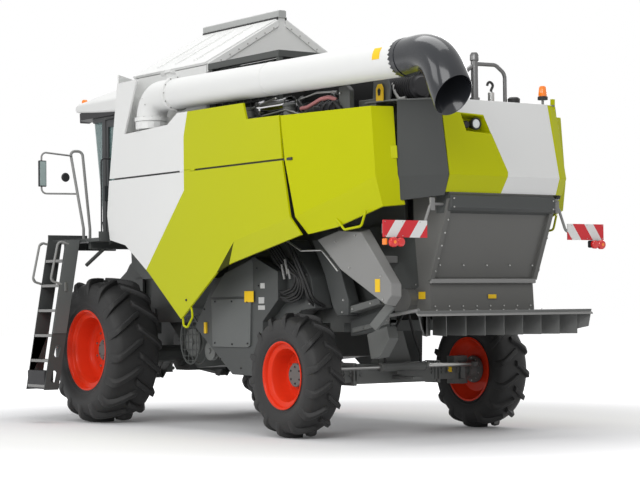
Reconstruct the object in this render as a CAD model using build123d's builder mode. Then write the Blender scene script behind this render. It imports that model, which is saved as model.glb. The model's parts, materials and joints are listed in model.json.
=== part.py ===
from build123d import *
import math
import os

# A self-propelled combine harvester, parked on its wheels with the unloading auger folded back.
# Sizes are in millimetres. X points forward, Y to the left, Z up, and the origin is on the floor
# under the middle of the drive axle. What lies behind the tank is placed from the rear axle.

# Driving dimensions
wheel_base = 3720
body_half_w = 600
body_top = 2080
deck_rise = 520
groove_rise = 150
panel_out = 820
tank_side_gap = 420
roof_slope = 30
cab_half_w = 900
cab_floor = 2150
cab_height = 1450

aft = -wheel_base
panel_y = body_half_w + panel_out
deck_z = body_top + deck_rise
groove_z = deck_z + groove_rise

# Fits and clearances shared by several pieces
pin_fit = 0.1
seat_gap = 0.3
hex_flat = math.cos(math.radians(30))
panel_wall = 22
panel_gap = 8
groove_half = 10

# Wheels
# name, axle x, diameter, width, rim flange radius, rim width, middle beyond the body, disc inside middle,
# bars on each side, bar height
wheel_rows = [
    ("front", 0, 1650, 610, 452, 530, 670, 150, 16, 42),
    ("rear", aft, 1240, 380, 333, 350, 590, 60, 14, 32),
]
flats_per_bar = 1.25
crown_w = 55
tip_w = 60
bar_lean = 0.75
bar_share = 0.052
nose_w = 16
bar_root = 60
flange_lip = 16
ledge_w = 55
ledge_drop = 34
well_depth = 96
rim_wall = 14
rim_flats = 16
hub_bore_r = 60
axle_gap = 0.3

# Grain tank and its roof
tank_front = -200
tank_rear = -1775
tank_half_w = panel_y - tank_side_gap
tank_floor_z = body_top + 270
tank_hip_z = tank_floor_z + 750
eave_z = tank_hip_z + 830
tank_wall = 25
trough_half_w = 250
lid_wall = 30
ridge_half = 45
ridge_h = 100
ridge_z = eave_z + tank_half_w * math.tan(math.radians(roof_slope))

# Unloading auger
auger_x = -1100
auger_y = panel_y - 130
auger_z = eave_z - 310
auger_r = 168
auger_end = aft - 1930
auger_drop = 60
elbow_low = auger_z - 270
elbow_reach = 230
spout_reach = 200

# Rear hood
hood_half_w = body_half_w + 110
hood_front = aft - 980
hood_rear = aft - 1850
hood_low = body_top + 280
hood_fold_z = hood_low + 160
hood_top = hood_low + 890
hood_wall = 25
hood_lean = 120

# Feeder house and its lift cylinders
pivot_x, pivot_z = 450, 1550
feeder_half_w = body_half_w - 12
feeder_r = 330
feeder_gap = 15
feeder_wall = 12
mouth_x = 1900
trunnion_r = 50
bracket_in = body_half_w + 6
lift_y = 450
lift_foot = (250, 520)
lift_eye = (1350, 640)
lift_pin_r = 20
lift_eye_r = 46
lift_rod_r = 30.9
barrel_r = 45
barrel_share = 0.62

# Hinges: two fixed knuckles carry the pin, the moving knuckle turns between them
knuckle_r = 8
hinge_pin_r = 4
knuckle_half = 60
knuckle_gap = 1
leaf_half = 150

os.makedirs("parts", exist_ok=True)


def save(piece, name):
    piece.part.label = name
    export_step(piece.part, f"parts/{name}.step")


def outline(plane, points):
    with BuildSketch(plane) as face:
        with BuildLine():
            Polyline(*points, close=True)
        make_face()
    return face.sketch


def side_plate(points, y_from, y_to, mode=Mode.ADD):
    """Plate seen from the side: points are (x, z)."""
    extrude(outline(Plane.XZ.offset(-y_from), points), amount=y_from - y_to, mode=mode)


def plan_plate(points, z_from, z_to, mode=Mode.ADD):
    """Plate seen from above: points are (x, y)."""
    extrude(outline(Plane.XY.offset(z_from), points), amount=z_to - z_from, mode=mode)


def cross_plate(points, x_from, x_to, mode=Mode.ADD):
    """Plate seen from the front: points are (y, z)."""
    extrude(outline(Plane.YZ.offset(x_from), points), amount=x_to - x_from, mode=mode)


def block(x, y, z, mode=Mode.ADD):
    with Locations(((x[0] + x[1]) / 2, (y[0] + y[1]) / 2, (z[0] + z[1]) / 2)):
        Box(abs(x[1] - x[0]), abs(y[1] - y[0]), abs(z[1] - z[0]), mode=mode)


def rod(start, end, radius, sides=12, sliding=False, mode=Mode.ADD):
    """Bar in flats that stay inside the radius; a bore's flats, and a sliding rod's, stay outside it."""
    run = Vector(*end) - Vector(*start)
    with BuildSketch(Plane(origin=start, z_dir=run)) as section:
        if sides:
            RegularPolygon(radius, sides, major_radius=mode != Mode.SUBTRACT and not sliding)
        else:
            Circle(radius)
    extrude(section.sketch, amount=run.length, mode=mode)


def eased(points, reach, steps):
    """The same route with each corner turned in short runs that start `reach` before it."""
    route = [Vector(*points[0])]
    for before, corner, after in zip(points, points[1:], points[2:]):
        corner = Vector(*corner)
        start = corner + (Vector(*before) - corner).normalized() * reach
        end = corner + (Vector(*after) - corner).normalized() * reach
        for step in range(steps + 1):
            share = step / steps
            route.append(start * (1 - share) ** 2 + corner * (2 * share * (1 - share)) + end * share ** 2)
    return route + [Vector(*points[-1])]


def tube(points, radius, reach, steps=2, sides=8, mode=Mode.ADD):
    """Bent tube in flats with mitred bends."""
    with BuildLine() as route:
        Polyline(*eased(points, reach, steps))
    with BuildSketch(Plane(origin=route.line @ 0, z_dir=route.line % 0)) as section:
        RegularPolygon(radius, sides)
    sweep(sections=section.sketch, path=route.line, transition=Transition.RIGHT, mode=mode)


def drum(centre, rows, flats, mode=Mode.ADD):
    """Turned body in flats about an axle along Y: each row is a distance along the axle and a radius."""
    rings = []
    for along, radius in rows:
        turns = [2 * math.pi * step / flats for step in range(flats)]
        rings.append([(centre[0] + radius * math.sin(a), centre[1] + along, centre[2] - radius * math.cos(a))
                      for a in turns])
    faces = [Face(Wire.make_polygon(ring, close=True)) for ring in (rings[0], rings[-1])]
    for low, high in zip(rings, rings[1:]):
        for a, b in zip(range(flats), [*range(1, flats), 0]):
            faces.append(Face(Wire.make_polygon([low[a], low[b], high[b], high[a]], close=True)))
    add(Solid(Shell(faces)), mode=mode)


def strip(points, wall):
    """Closed outline of a bent sheet: the line itself and a second one to its left at the sheet's thickness."""
    runs = [(Vector(*b) - Vector(*a)).normalized() for a, b in zip(points, points[1:])]
    inner = []
    for index, point in enumerate(points):
        before = runs[max(index - 1, 0)]
        after = runs[min(index, len(runs) - 1)]
        middle = (before + after).normalized()
        reach = wall / (before.X * middle.X + before.Y * middle.Y)
        inner.append((point[0] - middle.Y * reach, point[1] + middle.X * reach))
    return points + inner[::-1]


def hexagon(centre, radius):
    turns = [math.radians(60 * step) for step in range(6)]
    return [(centre[0] + radius * math.cos(turn), centre[1] + radius * math.sin(turn)) for turn in turns]


def hinge(plate, section, centre, along, moving=False):
    """Half of a hinge. The section is a knuckle with its leaf, measured from the pin; along is its middle."""
    shape = [(centre[0] + a, centre[1] + b) for a, b in section]
    pin_half = knuckle_half + knuckle_gap
    if moving:
        bore = (hinge_pin_r + pin_fit) / math.cos(math.radians(30))
        plate(shape, along - knuckle_half, along + knuckle_half)
        plate(hexagon(centre, bore), along - pin_half, along + pin_half, mode=Mode.SUBTRACT)
    else:
        plate(shape, along - leaf_half, along - pin_half)
        plate(shape, along + pin_half, along + leaf_half)
        plate(hexagon(centre, hinge_pin_r), along - pin_half - 1, along + pin_half + 1)


# Wheels: a wide bar-tread tyre on a deep dished rim, the right one a mirror of the left
for name, axle_x, diameter, width, flange_r, rim_w, mid_out, disc_in, bars, bar_h in wheel_rows:
    mid_y = body_half_w + mid_out
    centre = (axle_x, mid_y, diameter / 2)
    tread_r = diameter / 2 - bar_h
    half_w = width / 2
    half_rim = rim_w / 2
    bulge_r = (tread_r + flange_r) / 2
    lean = bar_lean * half_w
    bar_half = bar_share * width
    tyre_flats = int(bars * flats_per_bar)
    # the bar's flat top is as high as its ends may be
    top_r = math.sqrt((diameter / 2) ** 2 - (lean / 2 + bar_half) ** 2)
    spin = Axis(centre, (0, 1, 0))
    treads = []
    for row in (1, -1):
        bar_line = [(-bar_half, -nose_w), (bar_half, -nose_w), (lean + bar_half, half_w + 4),
                    (lean - bar_half, half_w + 4)]
        plan = [(axle_x + lean / 2 - t, mid_y + row * u) for t, u in bar_line]
        rise = [(-nose_w - 1, tread_r - bar_root), (half_w + 5, tread_r - bar_root),
                (half_w + 5, tread_r - bar_root + 4), (half_w - tip_w, top_r), (-nose_w - 1, top_r)]
        with BuildPart() as one_bar:
            plan_plate(plan, centre[2] + tread_r - bar_root, centre[2] + top_r)
            cross_plate([(mid_y + row * u, centre[2] + r) for u, r in rise],
                        axle_x - width, axle_x + width, mode=Mode.INTERSECT)
        turn = 0 if row == 1 else 180 / bars
        treads += [one_bar.part.rotate(spin, turn + step * 360 / bars) for step in range(bars)]
    with BuildPart() as tyre:
        drum(centre, [(-half_w, bulge_r), (-half_w + crown_w, tread_r), (half_w - crown_w, tread_r),
                      (half_w, bulge_r)], tyre_flats)
        add(treads)
        drum(centre, [(-half_w, bulge_r), (-half_rim, flange_r), (half_rim, flange_r), (half_w, bulge_r)],
             rim_flats, mode=Mode.SUBTRACT)
    with BuildPart() as rim:
        # lip, ledge, well and disc, seen along the axle from both sides
        drum(centre, [(-half_rim, flange_r), (half_rim, flange_r)], rim_flats)
        dish = [(rim_wall / 2 - disc_in, flange_r - well_depth - 40),
                (half_rim - ledge_w - 20, flange_r - well_depth),
                (half_rim - ledge_w, flange_r - ledge_drop), (half_rim, flange_r - flange_lip)]
        drum(centre, dish, rim_flats, mode=Mode.SUBTRACT)
        drum(centre, [(-half_rim, flange_r - flange_lip),
                      (-rim_wall / 2 - disc_in, flange_r - well_depth - 40)],
             rim_flats, mode=Mode.SUBTRACT)
        rod((axle_x, mid_y - width, centre[2]), (axle_x, mid_y + width, centre[2]), hub_bore_r,
            mode=Mode.SUBTRACT)
    save(tyre, f"{name}_tyre_left")
    save(rim, f"{name}_rim_left")
    for piece, kind in ((tyre, "tyre"), (rim, "rim")):
        with BuildPart() as twin:
            add(mirror(piece.part, about=Plane.XZ, mode=Mode.PRIVATE))
        save(twin, f"{name}_{kind}_right")

front_z, rear_z = (row[2] / 2 for row in wheel_rows)
rear_mid_y = body_half_w + wheel_rows[1][6]
front_disc_y, rear_disc_y = (body_half_w + row[6] - row[7] for row in wheel_rows)
rim_seat = rim_wall / 2 + axle_gap

# Drive axle: gearbox in the middle, tubes, final drive cases, hub flanges and the feet of the lift cylinders
beam_out = body_half_w + 80
case_in = body_half_w + 90
case_out = body_half_w + 280
with BuildPart() as drive_axle:
    side_plate([(-190, front_z - 200), (-130, front_z - 260), (130, front_z - 260), (190, front_z - 200),
                (190, front_z + 160), (130, front_z + 220), (-130, front_z + 220),
                (-190, front_z + 160)], -260, 260)
    rod((0, -300, front_z - 60), (0, 300, front_z - 60), 150, sides=10)
    for side in (1, -1):
        rod((0, side * 290, front_z - 60), (0, side * (case_in + 10), front_z - 60), 95, sides=10)
        case = [(-170, front_z - 160), (-90, front_z - 230), (90, front_z - 230), (170, front_z - 160),
                (150, front_z + 240), (80, front_z + 300), (-80, front_z + 300), (-150, front_z + 240)]
        side_plate(case, side * case_in, side * case_out)
        rod((0, side * case_out, front_z), (0, side * (front_disc_y - rim_seat), front_z), 190)
        rod((0, side * case_out, front_z), (0, side * (front_disc_y + 60), front_z), hub_bore_r - axle_gap)
        for ear in (-65, 50):
            y = side * lift_y + ear
            side_plate([(-80, 760), (80, 760), (300, 560), (290, 480), (220, 470)], y, y + 15)
        rod((lift_foot[0], side * lift_y - 58, lift_foot[1]),
            (lift_foot[0], side * lift_y + 58, lift_foot[1]),
            lift_pin_r - pin_fit)
save(drive_axle, "drive_axle")

# Rear axle: a square beam with telescoped ends, forks for the kingpins, pivot bracket, hitch and
# the body of the steering cylinder behind it
kingpin_y = rear_mid_y - 260
kingpin_r = 38
fork_half = 145
steer_arm = 210
steer_x = aft - 200
steer_z = rear_z + 60
steer_rod_r = 22
cross_low = 1040
beam_low, beam_high = 1130, 1290
with BuildPart() as rear_axle:
    block((aft - 90, aft + 90), (-560, 560), (rear_z - 110, rear_z + 90))
    for side in (1, -1):
        block((aft - 72, aft + 72), (side * 550, side * (kingpin_y - 145)), (rear_z - 92, rear_z + 72))
        block((aft - 105, aft + 105), (side * 520, side * 560), (rear_z - 125, rear_z + 105))
        block((aft - 60, aft + 60), (side * (kingpin_y - 150), side * (kingpin_y - 90)),
              (rear_z - fork_half, rear_z + fork_half))
        for high in (1, -1):
            level = rear_z + high * 120
            plan_plate([(aft - 60, side * (kingpin_y - 150)), (aft - 60, side * (kingpin_y + 25)),
                        (aft - 25, side * (kingpin_y + 60)), (aft + 25, side * (kingpin_y + 60)),
                        (aft + 60, side * (kingpin_y + 25)), (aft + 60, side * (kingpin_y - 150))],
                       level - 25, level + 25)
        rod((aft, side * kingpin_y, rear_z - 200), (aft, side * kingpin_y, rear_z + 200),
            kingpin_r + pin_fit, sides=8, mode=Mode.SUBTRACT)
    cross_plate([(-220, rear_z + 80), (220, rear_z + 80), (110, cross_low), (-110, cross_low)], aft - 60,
                aft + 60)
    block((aft - 430, aft - 80), (-60, 60), (rear_z - 70, rear_z - 40))
    rod((aft - 380, 0, rear_z - 90), (aft - 380, 0, rear_z), 16, sides=0, mode=Mode.SUBTRACT)
    rod((steer_x, -260, steer_z), (steer_x, 260, steer_z), 48, sides=8)
    block((steer_x + 20, aft - 80), (-60, 60), (steer_z - 80, steer_z - 20))
    rod((steer_x, -261, steer_z), (steer_x, 261, steer_z), steer_rod_r + pin_fit, sides=8, mode=Mode.SUBTRACT)
save(rear_axle, "rear_axle")

# Knuckles with kingpin boss, stub axle, hub flange and steering arm
for side_name, side in (("left", 1), ("right", -1)):
    y = side * kingpin_y
    with BuildPart() as knuckle:
        rod((aft, y, rear_z - 150), (aft, y, rear_z + 150), kingpin_r, sides=8)
        boss = 95 - seat_gap
        rod((aft, y, rear_z - boss), (aft, y, rear_z + boss), 60, sides=8)
        rod((aft, y, rear_z), (aft, side * (rear_disc_y + 50), rear_z), hub_bore_r - axle_gap)
        rod((aft, side * (kingpin_y + 50), rear_z), (aft, side * (rear_disc_y - rim_seat), rear_z),
            90, sides=8)
        plan_plate([(aft - steer_arm - 30, y - 24), (aft - steer_arm - 30, y + 24), (aft, y + 40),
                    (aft, y - 40)],
                   rear_z + 40, rear_z + 80)
    save(knuckle, f"knuckle_{side_name}")

# Double-ended steering cylinder rod behind the beam
with BuildPart() as steering_rod:
    rod((steer_x, 45 - kingpin_y, steer_z), (steer_x, kingpin_y - 45, steer_z),
        steer_rod_r, sides=8, sliding=True)
save(steering_rod, "steering_rod")

# Threshing and cleaning body: closed sheet housing between the wheels, seen from the side
body_rear = aft - 1230
pan_z = 1340
body_line = [
    (560, body_top), (body_rear, body_top), (body_rear - 70, pan_z + 140), (aft - 980, pan_z),
    (aft + 770, pan_z),
    (aft + 970, 760), (-900, 620), (-300, 1130), (330, 1180), (560, 1330),
]
with BuildPart() as threshing_body:
    side_plate(body_line, -body_half_w, body_half_w)
    rod((pivot_x, -body_half_w - 1, pivot_z), (pivot_x, body_half_w + 1, pivot_z),
        feeder_r + feeder_gap, sides=20, mode=Mode.SUBTRACT)
    block((pivot_x, 700), (-body_half_w, body_half_w), (1000, pivot_z + feeder_r + feeder_gap),
          mode=Mode.SUBTRACT)
    # pressed ribs across the belly
    for step in range(5):
        x = aft + 560 - step * 300
        block((x, x + 40), (60 - body_half_w, body_half_w - 60), (pan_z - 18, pan_z + 1))
save(threshing_body, "threshing_body")

# Main frame: two longitudinal beams, feet on the drive axle, the cross member of the rear axle
# and the trunnions that carry the feeder house
with BuildPart() as main_frame:
    block((aft - 120, aft + 120), (-beam_out, beam_out), (cross_low, beam_low + 20))
    for side in (1, -1):
        block((aft - 880, 300), (side * body_half_w, side * beam_out), (beam_low, beam_high))
        block((-120, 120), (side * (body_half_w + 5), side * (beam_out + 10)), (front_z + 175, beam_high))
        block((250, pivot_x + 90), (side * bracket_in, side * (body_half_w + 40)),
              (beam_low + 120, pivot_z + 90))
        rod((pivot_x, side * (body_half_w + 20), pivot_z), (pivot_x, side * (body_half_w - 70), pivot_z),
            trunnion_r)
save(main_frame, "main_frame")

# Side housings: the step box of the cleaning fan on each side with its cover plate and two belt pulleys,
# the box behind the drive wheel and the mudguard over it
step_out = panel_y - 370
step_box = [(-1590, 1090), (aft + 1720, 1590), (aft + 950, 1820), (aft + 520, 1660), (aft + 520, 1370),
            (aft + 800, 1150), (aft + 820, 580), (aft + 1390, 590)]
wheel_box = [(-540, body_top - 40), (-560, 1780), (-820, 1620), (-1560, 1620), (-1560, body_top - 40)]
# x, z and radius of the pulleys
pulley_rows = [(-1400, 920, 150), (-1760, 830, 105)]
with BuildPart() as side_housings:
    for side in (1, -1):
        side_plate(step_box, side * beam_out, side * step_out)
        cover = [(aft + 1840, 1330), (aft + 1700, 1400), (aft + 980, 960), (aft + 1060, 800),
                 (aft + 1180, 800)]
        side_plate(cover, side * step_out, side * (step_out + 25))
        side_plate(wheel_box, side * body_half_w, side * (panel_y - 170))
    for x, z, radius in pulley_rows:
        rod((x, body_half_w, z), (x, step_out - 60, z), 35, sides=8)
        rod((x, step_out - 140, z), (x, step_out - 80, z), radius, sides=16)
save(side_housings, "side_housings")

# Belt guards on the rear flanks: a flat pan with a sloped rim, on two spacers
guard_out = step_out
guard = [(aft - 160, 1970), (aft - 540, 2060), (aft - 920, 2040), (aft - 1410, 1500), (aft - 1410, 1380),
         (aft - 1310, 1290), (aft - 550, 1650)]
with BuildPart() as belt_guards:
    for side in (1, -1):
        side_plate(guard, side * (guard_out - 110), side * guard_out)
        for x, z in ((aft - 480, 1850), (aft - 1130, 1550)):
            rod((x, side * body_half_w, z), (x, side * (guard_out - 105), z), 40, sides=8)
    outer = belt_guards.faces().filter_by(Plane.XZ).group_by(Axis.Y)
    chamfer(outer[0].edges() + outer[-1].edges(), 28)
save(belt_guards, "belt_guards")

# Engine deck on two webs
deck_wall = 40
deck_half = panel_y - 40
deck_front = tank_rear - 55
with BuildPart() as engine_deck:
    plan_plate([(deck_front, -deck_half), (deck_front, deck_half), (aft - 60, deck_half),
                (hood_front, deck_half - 155), (hood_front, 155 - deck_half), (aft - 60, -deck_half)],
               deck_z, deck_z + deck_wall)
    for side in (1, -1):
        block((hood_front, deck_front), (side * 520, side * 560), (body_top, deck_z))
save(engine_deck, "engine_deck")

# Engine: crankcase, sump and head with six rocker covers, two manifolds, flywheel housing and belt pulley
floor_z = deck_z + deck_wall
engine_x = (aft - 630, aft + 470)
head_z = floor_z + 620
with BuildPart() as engine:
    block(engine_x, (-300, 300), (floor_z, floor_z + 430))
    block((engine_x[0] + 60, engine_x[1] - 60), (-210, 210), (floor_z + 420, head_z))
    for step in range(6):
        x = engine_x[0] + 85 + step * 160
        block((x, x + 130), (-120, 120), (head_z - 10, head_z + 90))
        block((x + 35, x + 95), (200, 300), (head_z - 120, head_z - 50))
    rod((engine_x[0] + 80, 300, head_z - 85), (engine_x[1] - 90, 300, head_z - 85), 50)
    block((engine_x[0] + 80, engine_x[1] - 90), (-300, -200), (head_z - 130, head_z - 30))
    rod((engine_x[1] - 20, 0, floor_z + 300), (engine_x[1] + 60, 0, floor_z + 300), 260, sides=16)
    rod((engine_x[0] - 60, 0, floor_z + 260), (engine_x[0] + 10, 0, floor_z + 260), 150)
save(engine, "engine")

# Cooler behind the louvres of the right upper panel: fins upright, one by one
cooler_x = (aft + 70, aft + 1120)
fin_pitch = 95
with BuildPart() as cooler:
    block(cooler_x, (-panel_y + 60, -panel_y + 400), (floor_z, deck_z + 560))
    for step in range(int((cooler_x[1] - cooler_x[0]) / fin_pitch)):
        x = cooler_x[0] + 40 + step * fin_pitch
        block((x, x + fin_pitch / 2), (-panel_y + 59, -panel_y + 90), (floor_z + 60, deck_z + 500),
              mode=Mode.SUBTRACT)
save(cooler, "cooler_box")

# Air filter on two saddles with its hose to the engine
filter_y = 900
filter_z = head_z - 85
filter_r = 170
with BuildPart() as air_filter:
    rod((aft - 580, filter_y, filter_z), (aft + 220, filter_y, filter_z), filter_r, sides=16)
    rod((aft + 215, filter_y, filter_z), (aft + 300, filter_y, filter_z), filter_r - 40)
    for x in (aft - 480, aft + 120):
        block((x - 30, x + 30), (filter_y - 100, filter_y + 100), (floor_z, filter_z - filter_r + 30))
    tube([(aft - 575, filter_y, filter_z), (aft - 760, filter_y, filter_z), (aft - 760, 300, filter_z),
          (engine_x[0] + 80, 300, filter_z)], 50, 90, steps=1)
save(air_filter, "air_filter")

# Grain tank: a hopper with upright walls above, gables at both ends, a ridge beam and the rails of its lids
tank_line = [(-tank_half_w, eave_z), (-tank_half_w, tank_hip_z), (-trough_half_w, tank_floor_z),
             (trough_half_w, tank_floor_z), (tank_half_w, tank_hip_z), (tank_half_w, eave_z)]
gable_top = ridge_z - lid_wall
lid_hinge_y = tank_half_w + 12
lid_hinge_z = eave_z + 3
lid_hinge_x = ((tank_front + tank_rear) / 2,)
with BuildPart() as grain_tank:
    cross_plate(tank_line, tank_rear, tank_front)
    with BuildSketch(Plane.YZ.offset(tank_rear + tank_wall)) as hollow:
        with BuildLine():
            Polyline(*tank_line, close=True)
        make_face()
        offset(amount=-tank_wall, kind=Kind.INTERSECTION)
    extrude(hollow.sketch, amount=tank_front - tank_rear - 2 * tank_wall, mode=Mode.SUBTRACT)
    block((tank_rear + tank_wall, tank_front - tank_wall),
          (-tank_half_w + tank_wall, tank_half_w - tank_wall),
          (eave_z - 60, eave_z + 1), mode=Mode.SUBTRACT)
    gable = [(-tank_half_w, eave_z - 1), (0, gable_top), (tank_half_w, eave_z - 1)]
    for x in (tank_rear, tank_front - tank_wall):
        cross_plate(gable, x, x + tank_wall)
    block((tank_rear, tank_front), (-ridge_half, ridge_half), (gable_top - 80, ridge_z + ridge_h))
    for side in (1, -1):
        for x in (tank_front - 360, tank_rear + 135):
            block((x, x + 60), (side * (tank_half_w - 1), side * (panel_y - panel_wall)),
                  (tank_hip_z + 50, tank_hip_z + 110))
        leaf = [(side * a, b) for a, b in ((-12.5, -43), (-12.5, -5), (-5, 6), (4, 7), (8, 0), (6, -8))]
        for x in lid_hinge_x:
            hinge(cross_plate, leaf, (side * lid_hinge_y, lid_hinge_z), x)
save(grain_tank, "grain_tank")

# Two lids lie from the eaves to the ridge beam, each hinged at its eave
lid_gap = 6
slope = math.radians(roof_slope)
lid_reach = (tank_half_w - ridge_half - 12) / math.cos(slope)
for side_name, side in (("left", 1), ("right", -1)):
    foot = (side * tank_half_w, eave_z + lid_gap)
    along = (-side * math.cos(slope), math.sin(slope))
    up = (side * math.sin(slope), math.cos(slope))

    def lid_point(reach, rise):
        return (foot[0] + reach * along[0] + rise * up[0], foot[1] + reach * along[1] + rise * up[1])

    with BuildPart() as lid:
        cross_plate([lid_point(0, 0), lid_point(lid_reach, 0), lid_point(lid_reach, lid_wall),
                     lid_point(0, lid_wall)],
                    tank_rear + 4, tank_front - 4)
        # three pressed ribs stiffen the sheet
        for step in (1, 2, 3):
            x = tank_rear + step * (tank_front - tank_rear) / 4
            cross_plate([lid_point(120, lid_wall - 1), lid_point(lid_reach - 60, lid_wall - 1),
                         lid_point(lid_reach - 80, lid_wall + 14),
                         lid_point(140, lid_wall + 14)], x - 30, x + 30)
        leaf = [(side * a, b) for a, b in ((-12, 3), (-6, -6), (5, -7), (8, 0), (3, 29))]
        for x in lid_hinge_x:
            hinge(cross_plate, leaf, (side * lid_hinge_y, lid_hinge_z), x, moving=True)
    save(lid, f"tank_lid_{side_name}")

# Rectangular rim frame behind the tank, on four posts
frame_x = (aft + 540, tank_rear - 37)
with BuildPart() as rim_frame:
    block(frame_x, (-tank_half_w, tank_half_w), (eave_z - 60, eave_z + 10))
    block((frame_x[0] + 70, frame_x[1] - 70), (70 - tank_half_w, tank_half_w - 70),
          (eave_z - 70, eave_z + 20),
          mode=Mode.SUBTRACT)
    for side in (1, -1):
        for x in (frame_x[0] + 30, frame_x[1] - 40):
            block((x - 25, x + 25), (side * (tank_half_w - 60), side * (tank_half_w - 10)),
                  (floor_z, eave_z - 59))
save(rim_frame, "rim_frame")

# Side panels: fixed upper sheets, a front flap hinged in the groove and a rear door hinged at its rear edge.
# The left upper sheet is cut out for the auger's elbow, the right one has louvres in front of the cooler.
seam_x = aft - 125
upper_low = groove_z + groove_half
upper_rear = [(-3150, deck_z + 770), (aft + 510, deck_z + 600), (aft - 80, deck_z + 590), (seam_x, upper_low)]
upper_left = [(-370, upper_low), (-560, eave_z - 110), (-990, eave_z - 100), (-710, deck_z + 640),
              (-1650, deck_z + 670), (-1850, deck_z + 780)] + upper_rear
upper_right = [(-370, upper_low), (-560, eave_z - 110), (-1650, eave_z - 120),
               (-1850, deck_z + 780)] + upper_rear
flap_high = groove_z - groove_half
flap_line = [(-360, flap_high), (-310, cab_floor + 200), (-370, body_top - 10), (-720, body_top - 80),
             (-1220, 1690),
             (-2030, 1080), (-2710, 1680), (-3000, 1950), (aft - 380, 2000), (aft - 250, 2180),
             (aft - 122, flap_high)]
door_line = [(aft - 95, deck_z + 585), (aft - 148, groove_z), (aft - 290, body_top + 90),
             (aft - 410, body_top - 75),
             (aft - 780, body_top - 20), (aft - 1480, body_top + 200), (aft - 1480, deck_z + 585)]
door_end = (aft - 1400, panel_y - 440)
door_plan = [(aft - 60, panel_y), (aft - 1340, panel_y - 220), door_end]
door_hinge = (door_end[0] - 11, door_end[1] + 6)
door_hinge_z = (deck_z + 150,)
flap_hinge_y = panel_y - knuckle_r
flap_leaf = [(-8, 12), (-8, -3), (-4, -8), (4, -8), (8, -3), (8, 12)]
flap_hinge_x = (-2050,)
for side_name, side in (("left", 1), ("right", -1)):
    with BuildPart() as flap:
        side_plate(flap_line, side * (panel_y - panel_wall), side * panel_y)
        for x in flap_hinge_x:
            hinge(cross_plate, [(a, -b) for a, b in flap_leaf], (side * flap_hinge_y, groove_z),
                  x, moving=True)
    save(flap, f"side_flap_{side_name}")
    with BuildPart() as door:
        plan_plate(strip([(x, side * y) for x, y in door_plan], side * panel_wall),
                   body_top - 130, deck_z + 650)
        extrude(outline(Plane.XZ.offset(panel_y + 200), door_line), amount=-2 * (panel_y + 200),
                mode=Mode.INTERSECT)
        leaf = [(a, side * b) for a, b in ((11, -6), (26, 49), (-2, 8), (-8, 2), (-5, -7), (4, -8))]
        for z in door_hinge_z:
            hinge(plan_plate, leaf, (door_hinge[0], side * door_hinge[1]), z, moving=True)
    save(door, f"rear_door_{side_name}")
louvre_x = (aft + 120, aft + 1060)
louvre_z = (deck_z + 190, deck_z + 520)
louvre_pitch = 55
with BuildPart() as upper_panels:
    for side, line in ((1, upper_left), (-1, upper_right)):
        side_plate(line, side * (panel_y - panel_wall), side * panel_y)
        for x in (-2400, aft + 20):
            block((x, x + 40), (side * (deck_half - 18), side * (panel_y - panel_wall)),
                  (floor_z, floor_z + 300))
        for x in flap_hinge_x:
            hinge(cross_plate, flap_leaf, (side * flap_hinge_y, groove_z), x)
    block(louvre_x, (-panel_y - 1, -panel_y + panel_wall + 1), louvre_z, mode=Mode.SUBTRACT)
    for step in range(int((louvre_z[1] - louvre_z[0]) / louvre_pitch)):
        z = louvre_z[0] + 12 + step * louvre_pitch
        slat = [(-panel_y, z), (-panel_y, z + 6), (-panel_y + panel_wall, z + 40),
                (-panel_y + panel_wall, z + 34)]
        cross_plate(slat, louvre_x[0], louvre_x[1])
save(upper_panels, "upper_panels")

# Rear hood: a hollow shell open below, the lamp recesses at its corners and slanted walls out to the rear doors
recess_y = (hood_half_w - 190, hood_half_w - 40)
recess_z = (hood_top - 190, hood_top - 60)
recess_depth = 24


def hood_back(z):
    """The hood's rear wall leans forward above its fold."""
    return hood_rear + hood_lean * (z - hood_fold_z) / (hood_top - hood_fold_z)


with BuildPart() as rear_hood:
    hood_line = [(hood_front, hood_low), (hood_rear + 70, hood_low), (hood_rear, hood_fold_z),
                 (hood_rear + hood_lean, hood_top), (hood_front, hood_top)]
    side_plate(hood_line, -hood_half_w, hood_half_w)
    upright_edges = rear_hood.edges().filter_by(Axis.Y, reverse=True).group_by(Axis.X)[0]
    chamfer(upright_edges, 30)
    hood_inside = [(hood_front + 10, hood_low - 1), (hood_rear + 92, hood_low - 1),
                   (hood_rear + 40, hood_fold_z),
                   (hood_rear + 150, hood_top - hood_wall), (hood_front + 10, hood_top - hood_wall)]
    side_plate(hood_inside, -hood_half_w + 40, hood_half_w - 40, mode=Mode.SUBTRACT)
    for side in (1, -1):
        wall = [(door_end[0] - 10, door_end[1] - 30), (hood_rear + hood_lean + 20, hood_half_w - 20),
                (hood_rear + hood_lean + 20, hood_half_w + 10), (door_end[0] - 18, door_end[1] - 8)]
        plan_plate([(x, side * y) for x, y in wall], hood_low - 70, hood_top)
        recess = [(hood_back(z) + depth, z) for z, depth in
                  ((recess_z[0], -30), (recess_z[0], recess_depth), (recess_z[1], recess_depth),
                   (recess_z[1], -30))]
        side_plate(recess, side * recess_y[0], side * recess_y[1], mode=Mode.SUBTRACT)
        leaf = [(a, side * b) for a, b in ((-7, -14), (-8, 2), (-3, 8), (5, 6), (8, -1), (3, -9), (1, -36))]
        for z in door_hinge_z:
            hinge(plan_plate, leaf, (door_hinge[0], side * door_hinge[1]), z)
save(rear_hood, "rear_hood")

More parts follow.
